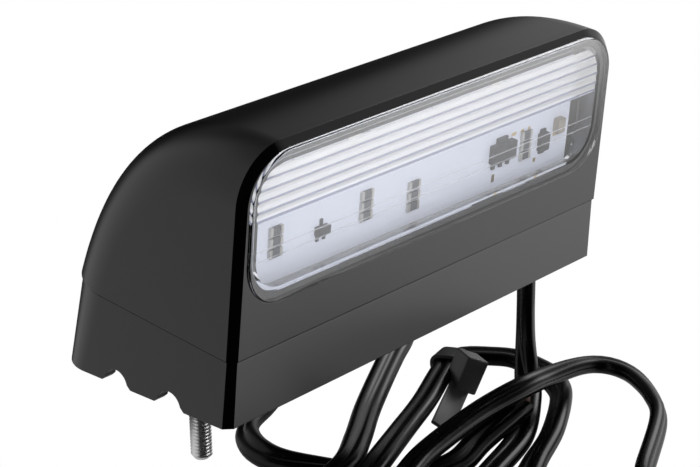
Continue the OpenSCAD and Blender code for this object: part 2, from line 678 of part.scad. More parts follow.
// Nylon tie drawn round the cable, with its block head on top
tie_stretch = 20;
tie_w = 4.8;
tie_t = 1;
tie_head = [5, 8.6, 4.4];
module cable_tie() color([0.06, 0.06, 0.06]) on_cable(tie_stretch) {
    rotate([90, 0, 90]) translate([0, 0, -tie_w / 2]) linear_extrude(tie_w) difference() {
        round_box(cable_w + 2 * tie_t + 2 * gap, cable_t + 2 * tie_t + 2 * gap, 2);
        round_box(cable_w + 2 * gap, cable_t + 2 * gap, 1.4);
    }
    translate([-tie_head.x / 2, -tie_head.y / 2, cable_t / 2 + gap + tie_t / 2]) cube(tie_head);
}
module round_box(w, h, r) offset(r = r) square([w - 2 * r, h - 2 * r], center = true);

cap();
base();
case_seal();
case_screws();
stud_left();
stud_right();
lens();
lens_seal();
board();
board_screws();
reflector();
led_left();
led_right();
driver_chip();
transistor();
diode_right();
capacitor_right();
resistors_left();
resistors_inner();
resistors_centre();
resistors_right();
grommet();
inner_core_a();
inner_core_b();
cord();
end_cores();
core_tips();
cable_tie();
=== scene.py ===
"""Studio picture of a number plate lamp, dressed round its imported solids.

Every length is in millimetres until a mesh is made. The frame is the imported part's own: the origin lies in
the middle of the mounting face, X runs along the lamp, -Y out of its lens and +Z up.
"""

from __future__ import annotations

import logging
import math
from dataclasses import dataclass
from enum import Enum
from typing import Iterable, Sequence

import bmesh
import bpy
import numpy as np
from mathutils import Matrix, Vector

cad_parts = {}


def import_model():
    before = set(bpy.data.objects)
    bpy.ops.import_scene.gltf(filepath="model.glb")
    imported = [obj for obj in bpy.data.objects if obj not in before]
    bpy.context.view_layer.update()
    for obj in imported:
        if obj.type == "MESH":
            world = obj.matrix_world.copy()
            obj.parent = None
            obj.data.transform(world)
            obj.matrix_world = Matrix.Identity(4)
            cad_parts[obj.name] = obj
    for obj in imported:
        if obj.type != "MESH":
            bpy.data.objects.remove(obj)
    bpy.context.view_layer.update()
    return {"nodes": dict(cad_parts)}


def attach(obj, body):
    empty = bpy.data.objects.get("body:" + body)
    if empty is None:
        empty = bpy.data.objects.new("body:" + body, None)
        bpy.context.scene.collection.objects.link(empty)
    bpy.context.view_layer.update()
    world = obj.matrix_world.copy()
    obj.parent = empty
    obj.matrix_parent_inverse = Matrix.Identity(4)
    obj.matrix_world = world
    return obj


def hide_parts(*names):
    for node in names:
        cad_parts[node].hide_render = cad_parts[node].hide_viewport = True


LOG = logging.getLogger("number_plate_lamp")
MM = 0.001
BODY = "root"
WHITE = (1.0, 1.0, 1.0, 1.0)
CLOUDS = 0.05  # patches of varying roughness in one millimetre
BOX_FACES = ((3, 2, 1, 0), (4, 5, 6, 7), (0, 1, 5, 4), (1, 2, 6, 5), (2, 3, 7, 6), (3, 0, 4, 7))
Point = tuple[float, float, float]
Flat = tuple[float, float]


class Slot(str, Enum):
    """Material slots of the part's record."""

    HOUSING = "housing"
    LENS = "clear_lens"
    SEAL = "seal_rubber"
    BOARD = "board_white"
    REFLECTOR = "reflector_white"
    LED = "led_phosphor"
    CHIP = "chip_black"
    RESISTOR = "resistor_dark"
    CAPACITOR = "capacitor_tan"
    ZINC = "zinc_steel"
    SCREW = "screw_steel"
    JACKET = "cable_jacket"
    CORE_BROWN = "core_brown"
    CORE_BLACK = "core_black"
    TIN = "tinned_copper"
    NYLON = "nylon_black"


class Cut(str, Enum):
    """Ways to combine two solids."""

    JOIN = "UNION"
    LESS = "DIFFERENCE"
    COMMON = "INTERSECT"


def linear(code: str) -> tuple[float, float, float, float]:
    """Turn an sRGB hex code into linear colour.

    Args:
        code: Six hex digits, with or without a leading hash.

    Returns:
        Red, green, blue and an alpha of one.
    """
    parts = [int(code.lstrip("#")[i : i + 2], 16) / 255 for i in (0, 2, 4)]
    rgb = [c / 12.92 if c <= 0.04045 else ((c + 0.055) / 1.055) ** 2.4 for c in parts]
    return (rgb[0], rgb[1], rgb[2], 1.0)


@dataclass(frozen=True)
class Finish:
    """How one surface looks.

    Attributes:
        name: Name of the real material.
        colour: sRGB hex code of its body colour.
        roughness: Spread of its highlights.
        metallic: One for bare metal.
        ior: Index of refraction.
        transmission: One for a clear body.
        grain: Grain cells in one millimetre, or zero for none.
        grain_depth: Height of the grain in millimetres.
        edge: Radius in millimetres by which edges look broken.
        mottle: Share by which the roughness wanders over the surface.
        lets_light: Whether lamps shine through it onto what lies behind.
    """

    name: str
    colour: str
    roughness: float
    metallic: float = 0.0
    ior: float = 1.5
    transmission: float = 0.0
    grain: float = 0.0
    grain_depth: float = 0.0
    edge: float = 0.0
    mottle: float = 0.0
    lets_light: bool = False


# Satin black moulding: nearly all of its grey comes from what it mirrors, softly
SATIN_ABS = Finish("Moulded black ABS", "#070708", 0.3, grain=5.0, grain_depth=0.003, edge=0.2, mottle=0.06)
# The cap's chamfer is polished in the mould, so it mirrors the dark studio in front of it; its colour, darker
# than the satin black, is painted dark reflection
POLISHED_ABS_PAINTED_DARK = Finish("Polished black ABS with painted dark reflection", "#020202", 0.12, grain=2.2, grain_depth=0.006)
# Clear cover: sharp highlights and strongly bent lines in its flutes
POLYCARBONATE = Finish("Clear polycarbonate", "#fbfcff", 0.015, ior=1.58, transmission=1.0, lets_light=True)
# The flutes' tool marks spread the light, and their milky white beside the polished plate is painted
# highlight that stands in for the bright bands of light bent through them
PAINTED_HIGHLIGHT_POLYCARBONATE = Finish(
    "Fluted polycarbonate with painted highlight", "#ffffff", 0.22, ior=1.58, transmission=0.45, lets_light=True
)
# Painted shade: the grooves between the flutes and the flutes' downward sides take a lavender copy of the
# polycarbonate for the shade of the joints, a cool lavender line each
PAINTED_SHADE_POLYCARBONATE = Finish(
    "Polycarbonate with painted shade", "#8d92ae", 0.2, ior=1.58, transmission=0.4, lets_light=True
)
# Matt black rubber that closes the joints
RUBBER = Finish("Seal rubber", "#0a0a0a", 0.6)
# Cool white varnish that gives the lens its bluish ground
SOLDER_MASK = Finish("White solder mask", "#d2d6e2", 0.32)
# Whiter and glossier than the board, so the bar stands out from it
REFLECTOR_PLASTIC = Finish("White reflector plastic", "#e4e6ee", 0.22)
# Pale filling of an unlit white diode
PHOSPHOR = Finish("Light diode phosphor", "#f6f5ec", 0.35)
# Epoxy chip body, matt and nearly black
MOULDING_EPOXY = Finish("Chip moulding compound", "#16171c", 0.5)
# Glazed top of a chip resistor
GLAZE = Finish("Glazed resistor body", "#24262f", 0.3)
# Warm ceramic body of a chip capacitor
CERAMIC = Finish("Capacitor ceramic", "#8d8478", 0.4)
# Gilded test pads, warm against the board
GILT = Finish("Gilded pad", "#c2ad7e", 0.3, metallic=1.0)
# Tinned solder and end caps: small bright marks on the board
SOLDER = Finish("Tin solder", "#b9b6b0", 0.35, metallic=1.0)
# Bright zinc with crisp thread lines
ZINC_PLATE = Finish("Bright zinc plate", "#f4f4f4", 0.3, metallic=1.0)
# Plain steel of the hidden screws
STEEL = Finish("Screw steel", "#c9cbce", 0.3, metallic=1.0)
# Smooth black vinyl with long highlights on its two lobes
VINYL = Finish("Cable jacket", "#020202", 0.27, ior=1.3, grain=0.9, grain_depth=0.008, mottle=0.12)
# Insulation of the live core
BROWN_VINYL = Finish("Brown core insulation", "#4a2415", 0.35)
# Insulation of the other core, which shows only inside the lamp
BLACK_VINYL = Finish("Black core insulation", "#0b0b0b", 0.35)
# Bare strands, tinned so that they hold together
TINNED_COPPER = Finish("Tinned copper", "#cfccc6", 0.3, metallic=1.0)
# Nylon with soft edges that catch a thin light line
NYLON = Finish("Black nylon", "#222224", 0.45, ior=1.53, edge=0.25)

# Finish of every slot whose pieces are looked up by slot
SLOT_FINISH: dict[Slot, Finish] = {
    Slot.SEAL: RUBBER,
    Slot.BOARD: SOLDER_MASK,
    Slot.REFLECTOR: REFLECTOR_PLASTIC,
    Slot.LED: PHOSPHOR,
    Slot.CHIP: MOULDING_EPOXY,
    Slot.RESISTOR: GLAZE,
    Slot.CAPACITOR: CERAMIC,
    Slot.SCREW: STEEL,
    Slot.CORE_BROWN: BROWN_VINYL,
    Slot.CORE_BLACK: BLACK_VINYL,
    Slot.TIN: TINNED_COPPER,
}


def plug(tree: bpy.types.NodeTree, value: object, socket: bpy.types.NodeSocket) -> None:
    """Feed an input from another socket, or set it to a value."""
    if isinstance(value, bpy.types.NodeSocket):
        tree.links.new(value, socket)
    else:
        socket.default_value = value


def add_node(tree: bpy.types.NodeTree, kind: str, **inputs: object) -> bpy.types.Node:
    """Add a node and link or set its inputs by name, with _ for a space."""
    made = tree.nodes.new(kind)
    for name, value in inputs.items():
        plug(tree, value, made.inputs[name.replace("_", " ")])
    return made


def blend(tree: bpy.types.NodeTree, *sources: bpy.types.NodeSocket) -> bpy.types.NodeSocket:
    """Mix two shaders: the sources are the share, the first and the second shader."""
    made = tree.nodes.new("ShaderNodeMixShader")
    for socket, source in zip(made.inputs, sources):
        tree.links.new(source, socket)
    return made.outputs["Shader"]


class MaterialLibrary:
    """Makes each material once, from nodes alone."""

    def __init__(self) -> None:
        """Start with an empty shelf."""
        self._made: dict[str, bpy.types.Material] = {}

    def get(self, finish: Finish) -> bpy.types.Material:
        """Return the material of a finish, making it at its first use."""
        if finish.name not in self._made:
            self._made[finish.name] = self._principled(finish)
            LOG.info("material %s", finish.name)
        return self._made[finish.name]

    def dress(self, item: bpy.types.Object, *finishes: Finish) -> bpy.types.Object:
        """Give an object the materials of these finishes in place of its own."""
        item.data.materials.clear()
        for finish in finishes:
            item.data.materials.append(self.get(finish))
        return item

    @staticmethod
    def _principled(finish: Finish) -> bpy.types.Material:
        """Build a physically based material from a finish."""
        material = bpy.data.materials.new(finish.name)
        material.use_nodes = True
        tree = material.node_tree
        shader = tree.nodes["Principled BSDF"]
        shader.inputs["Base Color"].default_value = linear(finish.colour)
        shader.inputs["Roughness"].default_value = finish.roughness
        shader.inputs["Metallic"].default_value = finish.metallic
        shader.inputs["IOR"].default_value = finish.ior
        shader.inputs["Transmission Weight"].default_value = finish.transmission
        normal = None
        if finish.edge:
            bevel = add_node(tree, "ShaderNodeBevel", Radius=finish.edge * MM)
            bevel.samples = 6
            normal = bevel.outputs["Normal"]
        if finish.grain or finish.mottle:
            place = tree.nodes.new("ShaderNodeTexCoord").outputs["Object"]
        if finish.grain:
            noise = add_node(tree, "ShaderNodeTexNoise", Vector=place, Scale=finish.grain / MM, Detail=2.0)
            depth = finish.grain_depth * MM
            bump = add_node(tree, "ShaderNodeBump", Height=noise.outputs["Fac"], Distance=depth)
            if normal is not None:
                tree.links.new(normal, bump.inputs["Normal"])
            normal = bump.outputs["Normal"]
        if finish.mottle:
            low, high = finish.roughness * (1 - finish.mottle), finish.roughness * (1 + finish.mottle)
            cloud = add_node(tree, "ShaderNodeTexNoise", Vector=place, Scale=CLOUDS / MM)
            spread = add_node(tree, "ShaderNodeMapRange", Value=cloud.outputs["Fac"], To_Min=low, To_Max=high)
            tree.links.new(spread.outputs["Result"], shader.inputs["Roughness"])
        if normal is not None:
            tree.links.new(normal, shader.inputs["Normal"])
        if finish.lets_light:
            rays = tree.nodes.new("ShaderNodeLightPath")
            clear = tree.nodes.new("ShaderNodeBsdfTransparent")
            choice = blend(tree, rays.outputs["Is Shadow Ray"], shader.outputs["BSDF"], clear.outputs["BSDF"])
            tree.links.new(choice, tree.nodes["Material Output"].inputs["Surface"])
        return material


def solid(name: str, points: Iterable[Sequence[float]], faces: Sequence[Sequence[int]]) -> bpy.types.Object:
    """Make a mesh object from points in millimetres.

    Args:
        name: Name of the new object.
        points: Corner points in the lamp's frame, in millimetres.
        faces: Corner numbers of each face, counter-clockwise from outside.

    Returns:
        The object, linked into the scene.
    """
    mesh = bpy.data.meshes.new(name)
    mesh.from_pydata([tuple(c * MM for c in p) for p in points], [], [tuple(f) for f in faces])
    made = bpy.data.objects.new(name, mesh)
    bpy.context.collection.objects.link(made)
    face_out(made)
    return made


def face_out(item: bpy.types.Object) -> None:
    """Turn every face of a closed mesh outwards."""
    mesh = bmesh.new()
    mesh.from_mesh(item.data)
    bmesh.ops.remove_doubles(mesh, verts=mesh.verts, dist=1e-7)
    bmesh.ops.recalc_face_normals(mesh, faces=mesh.faces)
    mesh.to_mesh(item.data)
    mesh.free()


def loft(name: str, rings: Sequence[Sequence[Sequence[float]]], hoop: bool = False) -> bpy.types.Object:
    """Skin a row of rings that have the same number of points.

    Args:
        name: Name of the new object.
        rings: Points of each ring, in millimetres.
        hoop: Whether the last ring meets the first, where otherwise a face closes each end.

    Returns:
        The object, linked into the scene.
    """
    m, n = len(rings), len(rings[0])
    faces = [
        (i * n + j, i * n + (j + 1) % n, (i + 1) % m * n + (j + 1) % n, (i + 1) % m * n + j)
        for i in range(m if hoop else m - 1)
        for j in range(n)
    ]
    if not hoop:
        faces += [tuple(range(n - 1, -1, -1)), tuple(range((m - 1) * n, m * n))]
    return solid(name, [point for ring in rings for point in ring], faces)


def smooth(item: bpy.types.Object, angle: float = 32.0) -> bpy.types.Object:
    """Shade a mesh smoothly and keep edges sharper than an angle in degrees."""
    item.data.shade_smooth()
    item.data.set_sharp_from_angle(angle=math.radians(angle))
    return item


def settle(item: bpy.types.Object) -> bpy.types.Object:
    """Turn an object's modifiers into its own mesh and remove them."""
    shown = item.evaluated_get(bpy.context.evaluated_depsgraph_get())
    mesh = bpy.data.meshes.new_from_object(shown)
    item.modifiers.clear()
    item.data = mesh
    return item


def combine(target: bpy.types.Object, tool: bpy.types.Object, how: Cut) -> bpy.types.Object:
    """Combine two closed solids.

    Args:
        target: Solid that takes the change.
        tool: Solid that works on it.
        how: Join, less or common.

    Returns:
        The changed target.
    """
    change = target.modifiers.new(how.value.title(), "BOOLEAN")
    change.operation = how.value
    change.solver = "EXACT"
    change.object = tool
    settle(target)
    bpy.data.objects.remove(tool)
    return target


def merge(name: str, pieces: Sequence[bpy.types.Object]) -> bpy.types.Object:
    """Put several meshes and their materials into one object."""
    materials: list[bpy.types.Material] = []
    joined = bmesh.new()
    for piece in pieces:
        shift = []
        for material in piece.data.materials:
            if material not in materials:
                materials.append(material)
            shift.append(materials.index(material))
        start = len(joined.faces)
        joined.from_mesh(piece.data)
        joined.faces.ensure_lookup_table()
        for face in joined.faces[start:]:
            face.material_index = shift[face.material_index] if shift else 0
    mesh = bpy.data.meshes.new(name)
    joined.to_mesh(mesh)
    joined.free()
    for material in materials:
        mesh.materials.append(material)
    made = bpy.data.objects.new(name, mesh)
    bpy.context.collection.objects.link(made)
    for piece in pieces:
        bpy.data.objects.remove(piece)
    return made


@dataclass(frozen=True)
class CapFrame:
    """Frame of the cap: it starts at the front seam edge and leans with the front face.

    Attributes:
        tilt: Degrees by which the front face leans forward.
        seam_y: Place of the front seam edge across the lamp.
        seam_z: Height of the front seam edge.
    """

    tilt: float = 6.2
    seam_y: float = -25.6666
    seam_z: float = 13.5

    def at(self, x: float, y: float, z: float) -> Point:
        """Turn a point of the cap's frame into the lamp's frame."""
        c, s = math.cos(math.radians(self.tilt)), math.sin(math.radians(self.tilt))
        return (x, self.seam_y + y * c - z * s, self.seam_z + y * s + z * c)

    def matrix(self, *place: float) -> Matrix:
        """Transform in metres that leans a thing and carries it to a place of the cap's frame."""
        tilt = Matrix.Rotation(math.radians(self.tilt), 4, "X")
        return Matrix.Translation(Vector(self.at(*(place or (0, 0, 0)))) * MM) @ tilt

    def prism(self, name: str, outline: Sequence[Flat], y0: float, y1: float) -> bpy.types.Object:
        """Make a prism from an outline in the plane of the front face.

        Args:
            name: Name of the new object.
            outline: Corners as x and height along the face.
            y0: Depth of its front behind the face.
            y1: Depth of its back behind the face.

        Returns:
            The prism, linked into the scene.
        """
        n = len(outline)
        points = [self.at(x, y, z) for y in (y0, y1) for x, z in outline]
        faces = [[(k + 1) % n, k, n + k, n + (k + 1) % n] for k in range(n)]
        return solid(name, points, [*faces, list(range(n)), list(range(2 * n - 1, n - 1, -1))])


def round_rect(length: float, low: float, height: float, radius: float, steps: int = 14) -> list[Flat]:
    """Corners of a rounded rectangle that stands on a level and lies evenly about x = 0."""
    corners = []
    for sx, sz, start in ((1, 1, 0), (-1, 1, 90), (-1, -1, 180), (1, -1, 270)):
        cx, cz = sx * (length / 2 - radius), low + height / 2 + sz * (height / 2 - radius)
        for k in range(steps + 1):
            a = math.radians(start + 90 * k / steps)
            corners.append((cx + radius * math.cos(a), cz + radius * math.sin(a)))
    return corners


@dataclass
class Housing:
    """Wedge base and leaning cap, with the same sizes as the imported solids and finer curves.

    Attributes:
        lamp_l: Length at the mounting face.
        base_d: Depth of the base at the mounting face.
        cap_h: Height of the cap along the leaning face.
        cap_d: Depth of the cap at the seam.
        draft: Draft of the end walls in degrees.
        crown: Control points of the crown curve, as depth and height.
        end_r: Fillet round the ends at the front.
        rear_r: Fillet round the ends at the rear seam.
        foot_r: Corner radius at the rear of the mounting face.
        chamfer: Chamfer along the front edges.
        wall: Wall thickness.
        front_wall: Thickness of the front wall.
        overhang: Overhang of the cap over the base.
        lead_in: Length by which the crown runs on in front of the face, for the cut of the chamfer.
        skirt: Length by which the cap's shell runs on below the seam before it is cut there.
        crown_steps: Steps along the crown.
        fillet_steps: Steps round a fillet.
        clearance: Gap round the lens in its rebate.
        least_chamfer: Smallest chamfer that an inner outline keeps.
        hair: Overlap that keeps a tool's faces off the faces it leaves alone.
        before: Place well in front of the face, where cuts start.
    """

    frame: CapFrame
    library: MaterialLibrary
    lamp_l: float = 110.0
    base_d: float = 48.4
    cap_h: float = 39.8
    cap_d: float = 48.3
    draft: float = 1.2
    crown: tuple[Flat, ...] = ((4.0, 39.8), (30.0, 39.8), (42.3, 22.0), (48.3, 0.0))
    end_r: float = 10.4
    rear_r: float = 13.2
    foot_r: float = 9.4
    chamfer: float = 1.5
    wall: float = 2.6
    front_wall: float = 3.4
    overhang: float = 0.35
    lead_in: float = 4.0
    skirt: float = 12.0
    crown_steps: int = 44
    fillet_steps: int = 22
    clearance: float = 0.1
    least_chamfer: float = 0.3
    hair: float = 0.02
    before: float = -20.0

    def half_at(self, z: float) -> float:
        """Half length of the housing at a height along the leaning face."""
        return self.lamp_l / 2 - (self.frame.seam_z + z) * math.tan(math.radians(self.draft))

    def _crown_point(self, t: float) -> np.ndarray:
        """Point of the crown curve."""
        a, b, c, d = (np.array(p) for p in self.crown)
        return (1 - t) ** 3 * a + 3 * t * (1 - t) ** 2 * b + 3 * t * t * (1 - t) * c + t**3 * d

    def _crown_slope(self, t: float) -> np.ndarray:
        """Direction of the crown curve."""
        a, b, c, d = (np.array(p) for p in self.crown)
        slope = 3 * (1 - t) ** 2 * (b - a) + 6 * t * (1 - t) * (c - b) + 3 * t * t * (d - c)
        return slope / np.linalg.norm(slope)

    def _stations(self) -> list[tuple[np.ndarray, np.ndarray, float]]:
        """Point, inward direction and end fillet of each station along the crown."""
        rows = [(np.array((-self.lead_in, self.cap_h)), np.array((0.0, -1.0)), self.end_r)]
        for k in range(self.crown_steps + 1):
            t = k / self.crown_steps
            slope = self._crown_slope(t)
            radius = self.end_r + (self.rear_r - self.end_r) * t
            rows.append((self._crown_point(t), np.array((slope[1], -slope[0])), radius))
        slope = self._crown_slope(1.0)
        rows.append((np.array(self.crown[-1]) + slope, np.array((slope[1], -slope[0])), self.rear_r))
        return rows

    def _body(self, name: str, depth: float) -> bpy.types.Object:
        """Crown curve carried along the lamp and filleted round both ends, moved inwards by a depth."""
        grid = []
        for point, inward, fillet in self._stations():
            radius = fillet - depth
            row = []
            for side in (-1, 1):
                steps = range(self.fillet_steps, -1, -1) if side < 0 else range(self.fillet_steps + 1)
                for k in steps:
                    a = math.radians(90 * k / self.fillet_steps)
                    q = point + inward * (depth + radius * (1 - math.cos(a)))
                    reach = self.half_at(q[1]) - depth - radius + radius * math.sin(a)
                    row.append((side * reach, q[0], q[1]))
            grid.append(row)
        wider = self.half_at(-self.skirt) - self.half_at(0)
        grid.append([(x + math.copysign(wider, x), y, -self.skirt) for x, y, _ in grid[-1]])
        n, m = len(grid), len(grid[0])
        corner = abs(grid[-1][0][0])
        points = [self.frame.at(*p) for row in grid for p in row]
        points += [self.frame.at(side * corner, -self.lead_in, -self.skirt) for side in (-1, 1)]
        left, right = n * m, n * m + 1
        faces = [
            [i * m + j, (i + 1) * m + j, (i + 1) * m + j + 1, i * m + j + 1]
            for i in range(n - 1)
            for j in range(m - 1)
        ]
        faces.append([*range(m), right, left])
        faces.append([*range(n * m - 1, (n - 1) * m - 1, -1), left, right])
        faces.append([*(i * m for i in range(n - 1, -1, -1)), left])
        faces.append([*(i * m + m - 1 for i in range(n)), right])
        return solid(name, points, faces)

    def _front_view(self, grow: float) -> list[Flat]:
        """Outline of the cap from the front, with its rounded upper corners."""
        outline = []
        for side in (1, -1):
            arc = []
            for k in range(self.fillet_steps + 1):
                a = math.radians(90 * k / self.fillet_steps)
                z = self.cap_h - self.end_r + (self.end_r + grow) * math.sin(a)
                x = self.half_at(z) - self.end_r + (self.end_r + grow) * math.cos(a)
                arc.append((side * x, z))
            foot = (side * (self.half_at(-self.skirt) + grow), -self.skirt)
            outline += [foot, *arc] if side > 0 else [*reversed(arc), foot]
        return outline

    def _chamfered(self) -> bpy.types.Object:
        """Solid that puts the chamfer on the front edges of whatever it is common with."""
        rows = ((0.0, -self.chamfer), (self.chamfer, self.hair), (self.cap_d + self.chamfer, self.hair))
        rings = [[self.frame.at(x, y, z) for x, z in self._front_view(grow)] for y, grow in rows]
        return loft("chamfer tool", rings)

    def _block(self, low: Point, high: Point) -> bpy.types.Object:
        """Box in the cap's frame."""
        x0, y0, z0 = low
        x1, y1, z1 = high
        return self.frame.prism("block", [(x0, z0), (x1, z0), (x1, z1), (x0, z1)], y0, y1)

    def _polish_and_paint_dark(self, item: bpy.types.Object) -> None:
        """Give the chamfer's faces their polished finish, whose darker black is painted dark reflection."""
        self.library.dress(item, SATIN_ABS, POLISHED_ABS_PAINTED_DARK)
        tilt = math.radians(self.frame.tilt)
        out = Vector((0.0, -math.cos(tilt), -math.sin(tilt)))
        front = -self.frame.at(0, 0, 20)[1] * MM * 0.8
        for face in item.data.polygons:
            share = face.normal.dot(out)
            # these faces take the darker black, which is painted dark reflection
            if 0.6 < share < 0.8 and face.center.dot(out) > front:
                face.material_index = 1

    def cap(self) -> bpy.types.Object:
        """Build the cap with its lens rebate and window."""
        lens = Lens(self.frame, self.library)
        cap = self._body("cap_shell", 0.0)
        combine(cap, self._chamfered(), Cut.COMMON)
        far = self.lamp_l
        combine(cap, self._block((-far, -far, 0.0), (far, far, far)), Cut.COMMON)
        hollow = self._body("hollow", self.wall)
        combine(hollow, self._block((-far, self.front_wall, -far), (far, far, far)), Cut.COMMON)
        combine(cap, hollow, Cut.LESS)
        rebate, window = (lens.outline(self.clearance - step) for step in (0.0, lens.wall_inset))
        combine(cap, self.frame.prism("rebate", rebate, self.before, lens.seat), Cut.LESS)
        combine(cap, self.frame.prism("window", window, self.before, self.front_wall + 1), Cut.LESS)
        self._polish_and_paint_dark(cap)
        smooth(cap, 30)
        return finish_piece(cap, Slot.HOUSING, "cap")

    def _plan(
        self, half: float, y0: float, y1: float, radius: float, depth: float, squash: float = 1.0
    ) -> list[Flat]:
        """Plan outline with chamfered front corners and round rear corners.

        Args:
            half: Half of its length.
            y0: Place of its front.
            y1: Place of its back.
            radius: Radius of the rear corners.
            depth: Length by which all of this moves inwards.
            squash: Depth of a rear corner against its width.

        Returns:
            Corners as x and y.
        """
        half, y0, y1, rx = half - depth, y0 + depth, y1 - depth, radius - depth
        ry, ch = rx * squash, max(self.chamfer - depth / 2, self.least_chamfer)
        outline = [(-half, y0 + ch), (-half + ch, y0), (half - ch, y0), (half, y0 + ch)]
        arc = [math.radians(90 * k / self.fillet_steps) for k in range(self.fillet_steps + 1)]
        outline += [(half - rx + rx * math.cos(a), y1 - ry + ry * math.sin(a)) for a in arc]
        outline += [(-half + rx - rx * math.sin(a), y1 - ry + ry * math.cos(a)) for a in arc]
        return outline

    def _foot_plan(self, depth: float) -> list[Flat]:
        """Outline of the mounting face, moved inwards by a depth."""
        return self._plan(self.lamp_l / 2, -self.base_d / 2, self.base_d / 2, self.foot_r, depth)

    def _seam_plan(self, depth: float, squash: float = 1.0) -> list[Flat]:
        """Outline of the leaning seam, moved inwards by a depth."""
        return self._plan(self.half_at(0), 0.0, self.cap_d, self.rear_r, depth, squash)


def finish_piece(item: bpy.types.Object, slot: Slot, *nodes: str) -> bpy.types.Object:
    """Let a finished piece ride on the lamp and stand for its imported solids."""
    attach(item, BODY)
    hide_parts(*nodes)
    LOG.info("piece %s stands for %s", item.name, ", ".join(nodes))
    return item


@dataclass
class Base(Housing):
    """Wedge base with its open underside, cable notches and stud bosses.

    Attributes:
        recess_h: Depth of the recess in the underside.
        notch_r: Radius of the cable notches.
        notch_flare: Flare at the lips of a notch.
        notch_pitch: Distance between the two notches of one end.
        notch_shift: Offset of the notch pair towards the front.
        stud_place: Place of the right stud; the left one lies opposite.
        boss_r: Radius of a stud boss.
        rib_t: Thickness of the long rib.
        rib_end: Distance of the rib from the inner end wall.
        screw_place: Place of the right case screw; the left one mirrors it.
        gap_h: Height of the gap along the seam.
        gap_depth: Depth of that gap behind the wall.
        stud_bore_r: Radius of the bores for the studs' necks.
        screw_bore_r: Radius of the bores for the case screws.
        exit_place: Place of the cable's way out.
        exit_reach: Half of that opening's straight part, which lies across the lamp.
        exit_r: Radius of its round ends.
        exit_top: Height at which that opening ends.
        under: Depth below the mounting face at which the cutting tools start.
    """

    recess_h: float = 3.6
    notch_r: float = 3.1
    notch_flare: float = 0.8
    notch_pitch: float = 14.4
    notch_shift: float = 1.6
    stud_place: Flat = (47.3, 8.8)
    boss_r: float = 4.6
    rib_t: float = 1.6
    rib_end: float = 12.0
    screw_place: Flat = (27.0, 6.0)
    gap_h: float = 0.36
    gap_depth: float = 1.3
    stud_bore_r: float = 2.65
    screw_bore_r: float = 1.55
    exit_place: Flat = (49.0, -11.4)
    exit_reach: float = 1.3
    exit_r: float = 2.6
    exit_top: float = 8.0
    under: float = -1.0

    def _notch(self, y: float) -> bpy.types.Object:
        """Round cable way with flared lips through both end walls."""
        lip = self.notch_r + self.notch_flare
        outline = [(-lip, -1.0), (lip, -1.0), (lip, 0.0)]
        for k in range(25):
            a = math.radians(15 + 150 * k / 24)
            outline.append((self.notch_r * math.cos(a), self.notch_r * math.sin(a)))
        outline.append((-lip, 0.0))
        far = self.lamp_l
        return loft("notch", [[(x, y + py, pz) for py, pz in outline] for x in (-far, far)])

    def _shell(self) -> bpy.types.Object:
        """Loft from the foot up to the leaning seam, which stands back under the cap."""
        foot = [(x, y, 0.0) for x, y in self._foot_plan(0.0)]
        squash = 1 / abs(self._crown_slope(1.0)[1])
        seam = [self.frame.at(x, y, 0.0) for x, y in self._seam_plan(self.overhang, squash)]
        return loft("base_shell", [foot, seam])

    def build(self) -> bpy.types.Object:
        """Build the base."""
        base = self._shell()
        combine(base, self._recess(), Cut.LESS)
        combine(base, self._shadow_gap(), Cut.LESS)
        studs = (self.stud_place, (-self.stud_place[0], -self.stud_place[1]))
        for place in studs:
            combine(base, post("boss", place, 0.0, self.recess_h + 1, self.boss_r), Cut.JOIN)
        half = self.lamp_l / 2 - self.wall - self.rib_end
        rib = box("rib", (-half, -self.rib_t / 2, 0), (half, self.rib_t / 2, self.recess_h + 1))
        combine(base, rib, Cut.JOIN)
        for row in (-0.5, 0.5):
            combine(base, self._notch(row * self.notch_pitch - self.notch_shift), Cut.LESS)
        bores = [(place, self.stud_bore_r) for place in studs]
        bores += [((side * self.screw_place[0], self.screw_place[1]), self.screw_bore_r) for side in (-1, 1)]
        for place, radius in bores:
            combine(base, post("bore", place, self.under, self.recess_h + 3, radius), Cut.LESS)
        way_out = slot_post("slot", self.exit_place, self.under, self.exit_top, self.exit_reach, self.exit_r)
        combine(base, way_out, Cut.LESS)
        self._polish_and_paint_dark(base)
        smooth(base, 30)
        return finish_piece(base, Slot.HOUSING, "base")

    def _shadow_gap(self) -> bpy.types.Object:
        """Narrow gap under the cap's edge that draws the dark seam line."""
        outer, inner = self._seam_plan(-1.0), self._seam_plan(self.gap_depth)
        edges = ((outer, -self.gap_h), (outer, 1.0), (inner, 1.0), (inner, -self.gap_h))
        rings = [[self.frame.at(x, y, z) for x, y in plan] for plan, z in edges]
        return loft("gap", rings, hoop=True)

    def _recess(self) -> bpy.types.Object:
        """Hollow of the underside."""
        plan = self._foot_plan(self.wall)
        return loft("recess", [[(x, y, z) for x, y in plan] for z in (self.under, self.recess_h)])


def box(name: str, low: Point, high: Point) -> bpy.types.Object:
    """Make a box from its lowest and highest corner."""
    (x0, y0, z0), (x1, y1, z1) = low, high
    points = [(x, y, z) for z in (z0, z1) for x, y in ((x0, y0), (x1, y0), (x1, y1), (x0, y1))]
    return solid(name, points, BOX_FACES)


def post(name: str, place: Flat, z0: float, z1: float, radius: float, steps: int = 40) -> bpy.types.Object:
    """Make an upright cylinder."""
    return slot_post(name, place, z0, z1, 0.0, radius, steps)


def slot_post(
    name: str, place: Flat, z0: float, z1: float, reach: float, radius: float, steps: int = 40
) -> bpy.types.Object:
    """Make an upright post with a round or long rounded section across the lamp."""
    ring = []
    for k in range(steps):
        a = 2 * math.pi * k / steps
        shift = math.copysign(reach, math.sin(a)) if abs(math.sin(a)) > 1e-9 else reach
        ring.append((place[0] + radius * math.cos(a), place[1] + shift + radius * math.sin(a)))
    return loft(name, [[(x, y, z) for x, y in ring] for z in (z0, z1)])


